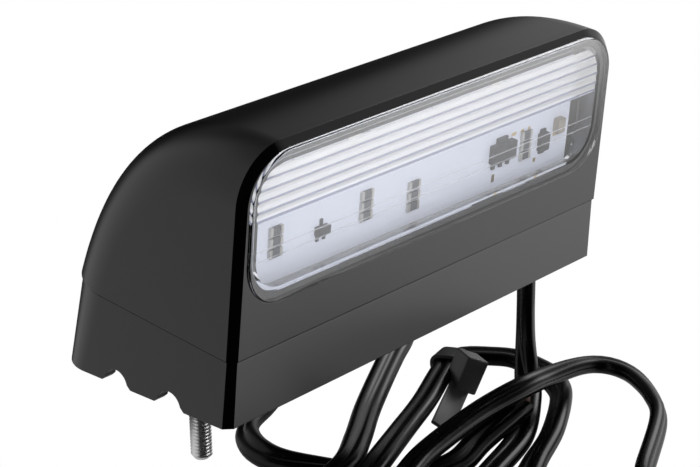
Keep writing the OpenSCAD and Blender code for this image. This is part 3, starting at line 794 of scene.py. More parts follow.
class NodeBuilder:
    """Geometry node group under construction."""

    def __init__(self, name: str) -> None:
        """Start an empty group with a geometry output."""
        self.group = bpy.data.node_groups.new(name, "GeometryNodeTree")
        self.group.interface.new_socket("Geometry", in_out="OUTPUT", socket_type="NodeSocketGeometry")
        self.source = self.group.nodes.new("NodeGroupInput")
        self.target = self.group.nodes.new("NodeGroupOutput")
        self.names: dict[str, str] = {}

    def number(self, name: str, value: float, kind: str = "NodeSocketFloat") -> bpy.types.NodeSocket:
        """Add a named input and return its socket."""
        made = self.group.interface.new_socket(name, in_out="INPUT", socket_type=kind)
        made.default_value = value
        self.names[name] = made.identifier
        return next(s for s in self.source.outputs if s.identifier == made.identifier)

    def node(self, kind: str, **inputs: object) -> bpy.types.Node:
        """Add a node and link or set its inputs by name, with _ for a space."""
        return add_node(self.group, kind, **inputs)

    def close(self, shape: bpy.types.NodeSocket, material: bpy.types.Material) -> None:
        """End the group: its instances become a real mesh and take their material."""
        real = self.node("GeometryNodeRealizeInstances", Geometry=shape)
        dressed = self.node("GeometryNodeSetMaterial", Geometry=real.outputs[0], Material=material)
        self.group.links.new(dressed.outputs[0], self.target.inputs[0])

    def run(self, name: str, values: dict[str, float]) -> bpy.types.Object:
        """Run the group on a new object and keep the mesh that it makes."""
        item = bpy.data.objects.new(name, bpy.data.meshes.new(name))
        bpy.context.collection.objects.link(item)
        change = item.modifiers.new(name, "NODES")
        change.node_group = self.group
        for key, value in values.items():
            change[self.names[key]] = value
        return settle(item)


@dataclass
class Stud:
    """Threaded fixing stud.

    Attributes:
        place: Its place on the mounting face.
        radius: Radius over the thread.
        length: Length below the mounting face.
        pitch: Pitch of the thread.
        depth: Depth of the thread.
        neck_r: Radius of the neck above the mounting face.
        floor_top: Height of the floor that the head lies on.
        head_af: Width of the head across its flats.
        head_h: Height of the head.
        tip_h: Height of the chamfered tip.
        tip_edge: Height of the tip's sloping part.
        crest: Place of the thread ridge's middle, as a share of the thread's depth.
        flank: Radius of the ridge, as a share of the pitch.
    """

    library: MaterialLibrary
    place: Flat
    radius: float = 1.975
    length: float = 13.3
    pitch: float = 0.7
    depth: float = 0.38
    neck_r: float = 2.6
    floor_top: float = 5.6
    head_af: float = 7.0
    head_h: float = 2.8
    tip_h: float = 0.9
    tip_edge: float = 0.6
    crest: float = 0.72
    flank: float = 0.52

    def _thread(self) -> bpy.types.Object:
        """Sweep a ridge along a helix."""
        kit = NodeBuilder("Thread ridge")
        turns = kit.number("Turns", 1.0)
        radius = kit.number("Radius", 0.001)
        height = kit.number("Height", 0.01)
        ridge = kit.number("Ridge", 0.0003)
        helix = kit.node(
            "GeometryNodeCurveSpiral",
            Resolution=36,
            Rotations=turns,
            Start_Radius=radius,
            End_Radius=radius,
            Height=height,
        )
        level = kit.node("GeometryNodeSetCurveNormal", Curve=helix.outputs[0])
        level.mode = "Z_UP"
        section = kit.node("GeometryNodeCurvePrimitiveCircle", Resolution=4, Radius=ridge).outputs[0]
        sweep = kit.node(
            "GeometryNodeCurveToMesh", Curve=level.outputs[0], Profile_Curve=section, Fill_Caps=True
        )
        kit.close(sweep.outputs[0], self.library.get(ZINC_PLATE))
        reach = self.length - self.tip_h
        made = kit.run("thread", {
            "Turns": reach / self.pitch,
            "Radius": (self.radius - self.depth * self.crest) * MM,
            "Height": reach * MM,
            "Ridge": self.pitch * self.flank * MM,
        })
        made.data.transform(Matrix.Translation(Vector((*self.place, -self.length + 0.55)) * MM))
        return made

    def build(self, node: str) -> bpy.types.Object:
        """Build the stud with its head, neck, core and thread."""
        core = post("core", self.place, -self.length + self.tip_edge, 0.0, self.radius - self.depth)
        neck = post("neck", self.place, 0.0, self.floor_top, self.neck_r)
        head_r = self.head_af / 2 / math.cos(math.pi / 6)
        head = post("head", self.place, self.floor_top, self.floor_top + self.head_h, head_r, 6)
        stud = merge(f"threaded_{node}", [core, self._cone(), neck, head, self._thread()])
        smooth(self.library.dress(stud, ZINC_PLATE), 40)
        return finish_piece(stud, Slot.ZINC, node)

    def _cone(self) -> bpy.types.Object:
        """Chamfered tip below the thread."""
        x, y = self.place
        ways = [2 * math.pi * k / 36 for k in range(36)]
        rows = (
            (-self.length, self.radius - self.tip_edge),
            (-self.length + self.tip_edge, self.radius - 0.12),
            (-self.length + self.tip_h, self.radius - self.depth),
        )
        return loft("tip", [[(x + r * math.cos(a), y + r * math.sin(a), z) for a in ways] for z, r in rows])


@dataclass
class Lens:
    """Clear cover: bevelled plate, inner wall round the window and flutes behind its upper part.

    Attributes:
        length: Length of the cover.
        height: Height of the cover.
        low: Lower edge above the seam.
        radius: Corner radius.
        thick: Thickness of the plate.
        proud: Height over the front face.
        bevel: Width of the rounded rim.
        wall_inset: Distance from the edge to the inner wall.
        wall_t: Thickness of the inner wall.
        depth: Depth behind the face at which the inner wall ends.
        seal: Thickness of the seal behind the plate.
        flutes: Number of flutes.
        pitch: Pitch of the flutes.
        strip: Width of the flat groove between two flutes.
        rise: Height of a flute.
        drop: Drop from the top of the cover to the lowest flute.
        bead_r: Radius of the fine beads.
        bead_low: Height of the lower bead.
        bead_pitch: Distance between the two beads.
        lip: Depth of the inner wall along the bottom, behind the plate.
        slope_low: Height over the lower edge from which the wall grows deeper.
        slope_top: Height over the lower edge at which it is whole.
        steep: How far a flute's side has to face down to take the painted shade, as the sine of its slope.
        steep_first: The same for the lowest flute, whose underside has no joint below it.
    """

    frame: CapFrame
    library: MaterialLibrary
    length: float = 104.0
    height: float = 29.6
    low: float = 8.9
    radius: float = 9.4
    thick: float = 2.4
    proud: float = 0.5
    bevel: float = 0.5
    wall_inset: float = 2.0
    wall_t: float = 0.8
    depth: float = 6.4
    seal: float = 0.4
    flutes: int = 5
    pitch: float = 2.02
    strip: float = 0.24
    rise: float = 0.6
    drop: float = 12.1
    bead_r: float = 0.09
    bead_low: float = 18.0
    bead_pitch: float = 1.95
    lip: float = 0.7
    slope_low: float = 1.5
    slope_top: float = 7.0
    steep: float = 0.75
    steep_first: float = 0.45

    @property
    def back(self) -> float:
        """Depth of the plate's back behind the front face."""
        return self.thick - self.proud

    @property
    def seat(self) -> float:
        """Depth of the rebate that the cover and its seal lie in."""
        return self.back + self.seal

    def outline(self, grow: float) -> list[Flat]:
        """Outline of the cover, grown by a length."""
        length, height = self.length + 2 * grow, self.height + 2 * grow
        return round_rect(length, self.low - grow, height, self.radius + grow, 16)

    def _plate(self) -> bpy.types.Object:
        """Plate with a rounded rim."""
        rows = [(self.back, 0.0)]
        for k in range(6):
            a = math.radians(90 * k / 5)
            rows.append((-self.proud + self.bevel * (1 - math.sin(a)), -self.bevel * (1 - math.cos(a))))
        rings = [[self.frame.at(x, y, z) for x, z in self.outline(grow)] for y, grow in rows]
        return loft("lens_plate", rings)

    def _bars(
        self, name: str, count: int, pitch: float, radius: float, low: float, depth: float
    ) -> bpy.types.Object:
        """Repeat a round bar up the back of the plate.

        Args:
            name: Name of the new object.
            count: Number of bars.
            pitch: Distance between two bars.
            radius: Radius of a bar.
            low: Height of the lowest bar.
            depth: Depth of the bars' axes behind the front face.

        Returns:
            The bars as one object.
        """
        kit = NodeBuilder(name)
        rows_in = kit.number("Count", 3, "NodeSocketInt")
        pitch_in = kit.number("Pitch", 0.002)
        radius_in = kit.number("Radius", 0.001)
        length_in = kit.number("Length", 0.1)
        offset = kit.node("ShaderNodeCombineXYZ", Z=pitch_in)
        rows = kit.node("GeometryNodeMeshLine", Count=rows_in, Offset=offset.outputs[0])
        bar = kit.node("GeometryNodeMeshCylinder", Vertices=64, Radius=radius_in, Depth=length_in)
        lying = (0.0, math.pi / 2, 0.0)
        turn = kit.node("GeometryNodeTransform", Geometry=bar.outputs[0], Rotation=lying)
        spread = kit.node("GeometryNodeInstanceOnPoints", Points=rows.outputs[0], Instance=turn.outputs[0])
        kit.close(spread.outputs[0], self.library.get(POLYCARBONATE))
        made = kit.run(name, {
            "Count": count,
            "Pitch": pitch * MM,
            "Radius": radius * MM,
            "Length": (self.length - 2 * self.wall_inset - self.wall_t) * MM,
        })
        made.data.transform(Matrix.Translation((0, depth * MM, low * MM)))
        made.data.transform(self.frame.matrix())
        return made

    def _flutes(self) -> bpy.types.Object:
        """Half round flutes behind the upper part of the plate."""
        half = (self.pitch - self.strip) / 2
        bar_r = (half**2 + self.rise**2) / (2 * self.rise)
        low = self.low + self.height - self.drop
        made = self._bars("flutes", self.flutes, self.pitch, bar_r, low, self.back + self.rise - bar_r)
        reach = self.frame.prism("reach", self.outline(-self.wall_inset - 0.5), self.back - 0.5, self.depth)
        return combine(made, reach, Cut.COMMON)

    def _beads(self) -> bpy.types.Object:
        """Two fine beads along the back of the plate."""
        return self._bars("beads", 2, self.bead_pitch, self.bead_r, self.bead_low, self.back)

    def _wall(self) -> bpy.types.Object:
        """Inner wall round the window, low along the bottom and sloping up to its full depth."""
        wall = self.frame.prism("lens_wall", self.outline(-self.wall_inset), self.back - 0.3, self.depth)
        inside = self.outline(-self.wall_inset - self.wall_t)
        hole = self.frame.prism("lens_hole", inside, 0.0, self.depth + 1)
        combine(wall, hole, Cut.LESS)
        lip, deep, z0 = self.back + self.lip, self.depth + 1, self.low - 1
        side = [(lip, z0), (deep, z0), (deep, self.low + self.slope_top), (lip, self.low + self.slope_low)]
        points = [self.frame.at(x, y, z) for x in (-self.length, self.length) for y, z in side]
        return combine(wall, solid("slope", points, BOX_FACES), Cut.LESS)

    def _dress(self, lens: bpy.types.Object) -> None:
        """Give the flutes a milky white that is painted highlight, and give painted shade to the grooves
        between them and to the flutes' downward sides.
        """
        self.library.dress(lens, POLYCARBONATE, PAINTED_HIGHLIGHT_POLYCARBONATE, PAINTED_SHADE_POLYCARBONATE)
        back = self.frame.matrix().inverted()
        turn = back.to_3x3()
        low = self.low + self.height - self.drop - self.pitch / 2
        half = self.length / 2 - self.wall_inset - self.wall_t
        for face in lens.data.polygons:
            x, y, z = back @ face.center / MM
            row, normal = (z - low) / self.pitch, turn @ face.normal
            if abs(x) > half or y < self.back - 0.05 or not -0.05 < row < self.flutes or normal.y < 0.1:
                continue
            groove = normal.y > 0.999 and y < self.back + 0.05
            steep = self.steep_first if row < 1 else self.steep
            # index 1 is the flutes' painted highlight, index 2 the painted shade of the grooves and downward
            # sides
            face.material_index = 2 if groove or normal.z < -steep else 1

    def build(self) -> bpy.types.Object:
        """Build the cover as one clear solid."""
        lens = self._plate()
        for part in (self._wall(), self._flutes(), self._beads()):
            combine(lens, part, Cut.JOIN)
        lens.name = "clear_cover"
        self._dress(lens)
        smooth(lens, 28)
        return finish_piece(lens, Slot.LENS, "lens")


@dataclass
class Board:
    """Details of the circuit board: the resistors' solder ends and the gilt test pads.

    Attributes:
        face: Depth of the board's face behind the cap's face.
        resistor: Width, thickness and height of a chip resistor.
        pitch: Distance between two resistors of a column.
        end_w: Width of a solder end.
        end_in: Distance of its middle from the resistor's end.
        spill: How much thicker and higher it is than its resistor.
        columns: Middle, lowest height and count of each column of resistors.
        pads: Middle, height, width and height of each test pad.
        pad_t: Thickness of a pad.
    """

    frame: CapFrame
    library: MaterialLibrary
    face: float = 6.4
    resistor: Point = (3.0, 0.55, 1.6)
    pitch: float = 2.1
    end_w: float = 0.62
    end_in: float = 0.2
    spill: Flat = (0.08, 0.1)
    columns: tuple[tuple[float, float, int], ...] = (
        (-39.2, 15.4, 3), (-15.2, 15.4, 3), (-1.7, 13.5, 3), (32.4, 14.7, 3),
    )
    pads: tuple[tuple[float, float, float, float], ...] = (
        (28.5, 20.0, 1.5, 0.7), (31.2, 20.0, 1.1, 0.7), (33.4, 20.0, 0.8, 0.7),
        (42.8, 16.6, 2.2, 0.8), (23.0, 12.2, 0.9, 1.6), (36.2, 12.6, 0.9, 0.9),
    )
    pad_t: float = 0.06

    def _end_caps(self) -> bpy.types.Object:
        """Solder ends on every chip resistor."""
        kit = NodeBuilder("Solder end column")
        count = kit.number("Count", 3, "NodeSocketInt")
        pitch = kit.number("Pitch", 0.002)
        size = kit.number("Size", (0.001, 0.001, 0.001), "NodeSocketVector")
        offset = kit.node("ShaderNodeCombineXYZ", Z=pitch)
        rows = kit.node("GeometryNodeMeshLine", Count=count, Offset=offset.outputs[0])
        cap = kit.node("GeometryNodeMeshCube", Size=size)
        spread = kit.node("GeometryNodeInstanceOnPoints", Points=rows.outputs[0], Instance=cap.outputs[0])
        kit.close(spread.outputs[0], self.library.get(SOLDER))
        w, t, h = self.resistor
        end = tuple(v * MM for v in (self.end_w, t + self.spill[0], h + self.spill[1]))
        pieces = []
        for x, low, many in self.columns:
            for side in (-1, 1):
                made = kit.run("ends", {"Count": many, "Pitch": self.pitch * MM, "Size": end})
                middle = x + side * (w / 2 - self.end_in)
                made.data.transform(self.frame.matrix(middle, self.face - t / 2, low))
                pieces.append(made)
        return self._part(merge("solder_ends", pieces), SOLDER)

    def _pads(self) -> bpy.types.Object:
        """Flat test pads beside the electronic parts."""
        pieces = []
        for x, z, *size in self.pads:
            w, t, h = size[0] / 2, self.pad_t / 2, size[1] / 2
            pad = box("pad", (-w, -t, -h), (w, t, h))
            pad.data.transform(self.frame.matrix(x, self.face, z))
            pieces.append(pad)
        return self._part(merge("test_pads", pieces), GILT)

    def _part(self, item: bpy.types.Object, finish: Finish) -> bpy.types.Object:
        """Finish an added detail that rides on the lamp."""
        self.library.dress(item, finish)
        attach(item, BODY)
        LOG.info("detail %s", item.name)
        return item

    def build(self) -> None:
        """Add the details."""
        self._end_caps()
        self._pads()


@dataclass(frozen=True)
class CameraRig:
    """The camera that took the picture, read back from the lamp's straight edges.

    Attributes:
        azimuth: Degrees from the lamp's front, positive to its right.
        elevation: Degrees above the mounting face.
        roll: Degrees of turn about the line of sight.
        focal_px: Focal length in pixels of a picture as wide as stated.
        place: Camera position in millimetres.
        sensor: Width of the sensor in millimetres.
        width_px: Width of the picture in pixels.
    """

    azimuth: float = -47.55
    elevation: float = 21.64
    roll: float = -0.93
    focal_px: float = 2056.96
    place: Point = (-282.344, -262.507, 168.149)
    sensor: float = 36.0
    width_px: float = 700.0

    def axes(self) -> Matrix:
        """Return the camera's right, up and backward axes as columns."""
        a, e, r = (math.radians(v) for v in (self.azimuth, self.elevation, self.roll))
        back = Vector((math.sin(a) * math.cos(e), -math.cos(a) * math.cos(e), math.sin(e)))
        right = Vector((math.cos(a), math.sin(a), 0.0))
        up = right.cross(-back)
        turned_right = right * math.cos(r) + up * math.sin(r)
        turned_up = -right * math.sin(r) + up * math.cos(r)
        return Matrix((turned_right, turned_up, back)).transposed()

    def build(self) -> bpy.types.Object:
        """Add the camera to the scene and make it the active one."""
        data = bpy.data.cameras.new("Picture camera")
        data.sensor_width = self.sensor
        data.lens = self.focal_px / self.width_px * self.sensor
        data.clip_start = 0.01
        data.clip_end = 20.0
        camera = bpy.data.objects.new("Picture camera", data)
        camera.matrix_world = Matrix.Translation(Vector(self.place) * MM) @ self.axes().to_4x4()
        bpy.context.collection.objects.link(camera)
        bpy.context.scene.camera = camera
        return camera


@dataclass(frozen=True)
class Softbox:
    """One rectangular studio lamp.

    Attributes:
        name: What the lamp does.
        place: Its position in millimetres.
        target: The point it faces, in millimetres.
        size: Its width and height in millimetres.
        power: Its power in watts.
    """

    name: str
    place: Point
    target: Point
    size: Flat
    power: float

    def build(self) -> bpy.types.Object:
        """Add the lamp to the scene."""
        data = bpy.data.lights.new(self.name, "AREA")
        data.shape = "RECTANGLE"
        data.size, data.size_y = (v * MM for v in self.size)
        data.energy = self.power
        lamp = bpy.data.objects.new(self.name, data)
        lamp.location = Vector(self.place) * MM
        lamp.rotation_euler = (Vector(self.place) - Vector(self.target)).to_track_quat("Z", "Y").to_euler()
        lamp.visible_glossy = False
        bpy.context.collection.objects.link(lamp)
        return lamp


@dataclass(frozen=True)
class Card:
    """Bright or dark patch of the studio, as far away as the walls.

    Attributes:
        way: Direction in which it stands.
        level: Brightness that it adds, or takes away where negative.
        inner: Cosine of the angle up to which it is whole.
        outer: Cosine of the angle at which it ends.
    """

    way: Point
    level: float
    inner: float
    outer: float


@dataclass
class Studio:
    """White studio: a floor, a pale surround with cards, and softboxes.

    Attributes:
        floor_z: Height of the floor in millimetres.
        surround: Level of the light that comes from all round.
        mirrored: Level of the walls that show in reflections.
        cards: Cards that show in reflections.
        lamps: Softboxes.
        near: Radius in millimetres within which reflections see the floor itself.
        fade: Width in millimetres over which they stop seeing it.
        paper: sRGB hex code of the floor.
    """

    floor_z: float = -32.2
    near: float = 58.0
    fade: float = 20.0
    paper: str = "#d8d8d8"
    surround: float = 0.72
    mirrored: float = 0.62
    cards: Sequence[Card] = (
        Card((-0.64, -0.67, -0.38), -0.62, 0.93, 0.62),
        Card((-0.3, -0.8, 0.35), -0.62, 0.85, 0.42),
        Card((0.1, -0.1, 1.0), -0.42, 0.9, 0.5),
        Card((0.42, 0.78, 0.46), -0.5, 0.99, 0.848),
        Card((0.5, 0.85, -0.1), -0.6, 0.95, 0.86),
        Card((0.85, 0.05, 0.52), 4.0, 0.99, 0.94),
        Card((0.79, -0.38, -0.49), -0.4, 0.997, 0.975),
        Card((0.72, -0.69, -0.05), 2.2, 0.97, 0.84),
        Card((0.75, -0.45, -0.48), 0.3, 0.95, 0.7),
        Card((-0.75, 0.5, -0.42), 0.05, 0.95, 0.6),
    )
    lamps: Sequence[Softbox] = (
        Softbox("Key", (-170.0, -330.0, 230.0), (0.0, -20.0, 25.0), (240.0, 200.0), 0.6),
    )

    def build(self) -> None:
        """Add the surround, the floor and the lamps."""
        bpy.context.scene.view_settings.view_transform = "Standard"
        self._surround()
        self._floor()
        for lamp in self.lamps:
            lamp.build()
            LOG.info("lamp %s", lamp.name)

    def _surround(self) -> None:
        """Light the scene evenly, show the cards in reflections and pure white behind everything."""
        world = bpy.data.worlds.new("White surround")
        bpy.context.scene.world = world
        world.use_nodes = True
        tree = world.node_tree
        background = tree.nodes["Background"]
        background.inputs["Color"].default_value = WHITE
        rays = tree.nodes.new("ShaderNodeLightPath")
        place = tree.nodes.new("ShaderNodeTexCoord").outputs["Generated"]
        level: object = self.mirrored
        for card in self.cards:
            turn = add_node(tree, "ShaderNodeVectorMath", Vector=place)
            turn.operation = "DOT_PRODUCT"
            turn.inputs[1].default_value = Vector(card.way).normalized()
            patch = add_node(
                tree,
                "ShaderNodeMapRange",
                Value=turn.outputs["Value"],
                From_Min=card.outer,
                From_Max=card.inner,
                To_Max=card.level,
            )
            patch.interpolation_type = "SMOOTHSTEP"
            level = self._math(tree, "ADD", patch.outputs["Result"], level)
        floor_zero = self._math(tree, "MAXIMUM", level, 0.0)
        lit = self._mix(tree, rays.outputs["Is Glossy Ray"], self.surround, floor_zero)
        seen = self._math(tree, "MAXIMUM", rays.outputs["Is Camera Ray"], rays.outputs["Is Transmission Ray"])
        tree.links.new(self._mix(tree, seen, lit, 1.0), background.inputs["Strength"])

    @staticmethod
    def _math(tree: bpy.types.NodeTree, how: str, a: object, b: object) -> bpy.types.NodeSocket:
        """Add a maths node with two inputs, each a socket or a number."""
        made = tree.nodes.new("ShaderNodeMath")
        made.operation = how
        for socket, value in zip(made.inputs, (a, b)):
            plug(tree, value, socket)
        return made.outputs[0]

    @staticmethod
    def _mix(
        tree: bpy.types.NodeTree, share: bpy.types.NodeSocket, a: object, b: object
    ) -> bpy.types.NodeSocket:
        """Mix two numbers by a share, each of them a socket or a number."""
        return add_node(tree, "ShaderNodeMapRange", Value=share, To_Min=a, To_Max=b).outputs["Result"]

    def _floor(self) -> None:
        """Lay white paper that shows pure white to the camera and lets reflections see the cards."""
        size = 3000 * MM
        mesh = bpy.data.meshes.new("Studio floor")
        z = self.floor_z * MM
        corners = [(-size, -size, z), (size, -size, z), (size, size, z), (-size, size, z)]
        mesh.from_pydata(corners, [], [(0, 1, 2, 3)])
        floor = bpy.data.objects.new("Studio floor", mesh)
        bpy.context.collection.objects.link(floor)
        material = bpy.data.materials.new("White paper")
        material.use_nodes = True
        tree = material.node_tree
        shader = tree.nodes["Principled BSDF"]
        shader.inputs["Base Color"].default_value = linear(self.paper)
        shader.inputs["Roughness"].default_value = 0.8
        glow = add_node(tree, "ShaderNodeEmission", Color=WHITE)
        clear = tree.nodes.new("ShaderNodeBsdfTransparent")
        rays = tree.nodes.new("ShaderNodeLightPath").outputs
        place = tree.nodes.new("ShaderNodeTexCoord").outputs["Object"]
        reach = add_node(tree, "ShaderNodeVectorMath", Vector=place)
        reach.operation = "LENGTH"
        far = add_node(
            tree,
            "ShaderNodeMapRange",
            Value=reach.outputs["Value"],
            From_Min=self.near * MM,
            From_Max=(self.near + self.fade) * MM,
        )
        shown = self._math(tree, "MAXIMUM", rays["Is Camera Ray"], rays["Is Transmission Ray"])
        hidden = self._math(tree, "MULTIPLY", rays["Is Glossy Ray"], far.outputs["Result"])
        white = blend(tree, shown, shader.outputs["BSDF"], glow.outputs["Emission"])
        mirror = blend(tree, hidden, white, clear.outputs["BSDF"])
        tree.links.new(mirror, tree.nodes["Material Output"].inputs["Surface"])
        mesh.materials.append(material)


class FlatCable:
    """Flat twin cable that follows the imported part's route.

    Attributes:
        WIDTH: Width of the flat jacket.
        THICKNESS: Thickness of the jacket.
        HANG_Z: Height over which the cable hangs, so that its flat side faces sideways.
        DROP_WAY: Direction of its flat side there.
        TURN: Height over which the flat side turns upwards below that.
        LOBE: Degrees to either side over which a lobe of the jacket is round.
        GROOVE: Half thickness at the groove between the lobes, as a share of a lobe's radius.
        STEP: Distance between two sections.
        CORE_BEND: Where the stripped cores bend.
        CORE_END: Where their tips end.
        CORE_R: Radius of a core.
        TIP_R: Radius of a tip.
        ROUTE: x, y, z and lean of each chosen point, from inside the base to the stripped end.
    """

    WIDTH = 5.8
    THICKNESS = 3.2
    HANG_Z = -14.0
    DROP_WAY = (-0.84, -0.54, 0.0)
    TURN = 12.0
    LOBE = 118.0
    GROOVE = 0.7
    STEP = 1.5
    CORE_BEND = (33.5, -22.5, -25.5)
    CORE_END = (35.5, -20.0, -25.6)
    CORE_R = 1.05
    TIP_R = 0.45
    ROUTE: tuple[tuple[float, float, float, float], ...] = (
        (49, -11.4, 10, 66), (49, -11.4, 0, 66), (49, -11.4, -8, 66), (49, -11.4, -15.5, 66),
        (47.6, -12.6, -22.4, 58), (43.8, -15.9, -27.4, 34), (37.6, -21.2, -29.1, 10), (22.4, -30.6, -29.4, 0),
        (5, -36, -29.3, 5), (-6, -40, -29.3, 0), (-17, -46, -29.3, 0), (-27.5, -47.6, -29.4, 0),
        (-37.5, -42.5, -29.4, 0), (-39, -32.5, -29.2, 0), (-33, -25.6, -28.2, 5), (-22.5, -24.2, -26.6, 10),
        (-11.5, -20.6, -25.5, 0), (7, -11.9, -27.6, -8), (21.1, -5.8, -28.4, -10), (37.9, 2.1, -28.6, -8),
        (44.1, 2.6, -28.6, 0), (48.4, -2.2, -28.6, 0), (50.9, -7.5, -28.6, 2), (49.7, -15.7, -28.6, 15),
        (46.1, -22.2, -28.4, 58), (40.8, -27.5, -28.4, 48), (26.8, -35.6, -28.4, 36), (14, -40.6, -28.8, 20),
        (6, -45, -29.3, 5), (2.3, -53, -29.3, 0), (6, -61.5, -28.6, 20), (14.5, -65.3, -27.5, 60),
        (22.1, -61.9, -25.5, 80), (38.6, -53.8, -24.4, 80), (45, -48.2, -23.8, 66), (49.6, -42.1, -23.6, 48),
        (51.9, -37.2, -23.4, 36), (51.8, -32.9, -23, 31), (49.4, -29.7, -22.6, 30), (44.2, -28, -22, 30),
        (35.7, -26.9, -21.6, 22), (27.2, -26.8, -21.1, 21), (15, -25.4, -22.5, 15), (-1.5, -26.3, -24, 12),
        (-11, -28.6, -24.6, 16), (-22, -33, -24.8, 15), (-34, -38, -25.2, 0), (-45, -41.5, -26.6, 0),
        (-53.5, -42.5, -28.6, 0), (-60.6, -37, -29.4, 0), (-61.8, -27.5, -29.4, 0), (-56, -19.6, -29.4, 0),
        (-46, -16.8, -29.4, 0), (-34, -17.4, -28.8, 0), (-24.5, -16.9, -26.6, 0), (-14.6, -15.6, -25.4, 0),
        (-2.8, -8, -27.3, 12), (11.1, 1.8, -29.2, 19), (24.3, 9.7, -29.4, 23), (35.8, 16.2, -29.4, 22),
        (45.4, 21.4, -29.4, 10), (53.5, 28.6, -29.4, 0), (54.8, 38, -29.4, 0), (48.5, 45.2, -29.4, 0),
        (39.5, 45.4, -29.4, 0), (31, 40, -29.4, 0), (21.5, 33, -29.4, 0), (10.5, 26, -29.4, 0),
        (-2.8, 19, -28.9, 20), (-11.5, 14.9, -28.6, 40), (-16, 10.6, -28.4, 45), (-18.3, 5, -28.6, 35),
        (-17.9, -1.7, -28.8, 20), (-12.4, -12.5, -29.4, 0), (-10.6, -20, -29.4, 0), (-4.5, -26, -29.2, 10),
        (4.5, -28.5, -28.8, 30), (13.3, -27.3, -27.6, 20), (24.9, -26.7, -26.1, 5), (28.6, -26, -26, 0),
    )

    def __init__(self, library: MaterialLibrary) -> None:
        """Work out the centreline and its axes."""
        self.library = library
        rows = np.array(self.ROUTE, float)
        dense = self._curve(rows, 12)
        run = np.r_[0, np.cumsum(np.linalg.norm(np.diff(dense[:, :3], axis=0), axis=1))]
        self.length = float(run[-1])
        at = np.linspace(0, run[-1], int(run[-1] / self.STEP))
        path = np.stack([np.interp(at, run, dense[:, k]) for k in range(4)], axis=1)
        self.centre = path[:, :3]
        self.along, self.up, self.side = self.axes(path)

    @classmethod
    def axes(cls, path: np.ndarray) -> tuple[np.ndarray, np.ndarray, np.ndarray]:
        """Work out the directions along, out of and across the flat cable at each row of its path."""
        along = np.gradient(path[:, :3], axis=0)
        along /= np.linalg.norm(along, axis=1)[:, None]
        share = np.clip((cls.HANG_Z - path[:, 2]) / cls.TURN, 0, 1)[:, None]
        face = np.array(cls.DROP_WAY) * (1 - share) + np.array([0, 0, 1.0]) * share
        face -= along * (face * along).sum(1)[:, None]
        face /= np.linalg.norm(face, axis=1)[:, None]
        lean = np.radians(path[:, 3])[:, None]
        up = face * np.cos(lean) + np.cross(along, face) * np.sin(lean)
        return along, up, np.cross(up, along)

    @staticmethod
    def _curve(rows: np.ndarray, steps: int) -> np.ndarray:
        """Pass a Catmull-Rom curve through the rows."""
        padded = np.vstack([rows[:1], rows, rows[-1:]])
        t = (np.arange(steps) / steps)[:, None]
        spans = []
        for i in range(len(rows) - 1):
            a, b, c, d = padded[i : i + 4]
            square, cube = 2 * a - 5 * b + 4 * c - d, 3 * b - a - 3 * c + d
            spans.append(0.5 * (2 * b + (c - a) * t + square * t**2 + cube * t**3))
        return np.vstack([*spans, rows[-1:]])

    def _section(self) -> np.ndarray:
        """Outline of the twin jacket: two round lobes and the grooves between them."""
        r = self.THICKNESS / 2
        off = (self.WIDTH - self.THICKNESS) / 2
        ways = np.radians(np.linspace(-self.LOBE, self.LOBE, 19))
        right = [(off + r * math.cos(a), r * math.sin(a)) for a in ways]
        groove = self.GROOVE * r
        left = [(-x, -y) for x, y in right]
        return np.array([*right, (0.0, groove), *left, (0.0, -groove)])

    def nearest(self, place: Point) -> int:
        """Number of the centreline's point that lies nearest to a place."""
        return int(np.argmin(np.linalg.norm(self.centre - np.array(place), axis=1)))

    def _cores(self) -> tuple[bpy.types.Object, bpy.types.Object]:
        """Two insulated cores and their tinned tips at the jacket's end."""
        sleeves, tips = [], []
        lobe = (self.WIDTH - self.THICKNESS) / 2
        for side in (-1, 1):
            start = self.centre[-1] - self.along[-1] + side * lobe * self.side[-1]
            bend = np.array(self.CORE_BEND) + side * self.side[-1]
            end = np.array(self.CORE_END) + side * self.side[-1]
            sleeves.append(tube("core", np.array([start, (start + bend) / 2, bend]), self.CORE_R))
            tips.append(tube("tip", np.array([bend - (end - bend) * 0.2, bend, end]), self.TIP_R))
        cores, bare = merge("stripped_cores", sleeves), merge("tinned_tips", tips)
        for item, slot, node in ((cores, Slot.CORE_BROWN, "end_cores"), (bare, Slot.TIN, "core_tips")):
            smooth(self.library.dress(item, SLOT_FINISH[slot]), 60)
            finish_piece(item, slot, node)
        return cores, bare

    def build(self) -> bpy.types.Object:
        across, out = (self._section()[None, :, k, None] for k in (0, 1))
        rings = self.centre[:, None] + across * self.side[:, None] + out * self.up[:, None]
        cable = self.library.dress(smooth(loft("flat_twin_cable", rings), 60), VINYL)
        finish_piece(cable, Slot.JACKET, "cord")
        on_it = [*self._cores(), CableTie(self.library).build(self)]
        LOG.info("cable %.0f mm long", self.length)
        return cable


def tube(name: str, path: np.ndarray, radius: float, steps: int = 16) -> bpy.types.Object:
    """Sweep a round section along a path."""
    along = np.gradient(path, axis=0)
    along /= np.linalg.norm(along, axis=1)[:, None]
    side = np.cross(along, (0.0, 0.0, 1.0))
    side /= np.linalg.norm(side, axis=1)[:, None]
    up = np.cross(side, along)
    turn = np.linspace(0, 2 * math.pi, steps, endpoint=False)[None, :, None]
    rings = path[:, None] + radius * (np.cos(turn) * side[:, None] + np.sin(turn) * up[:, None])
    return loft(name, rings)


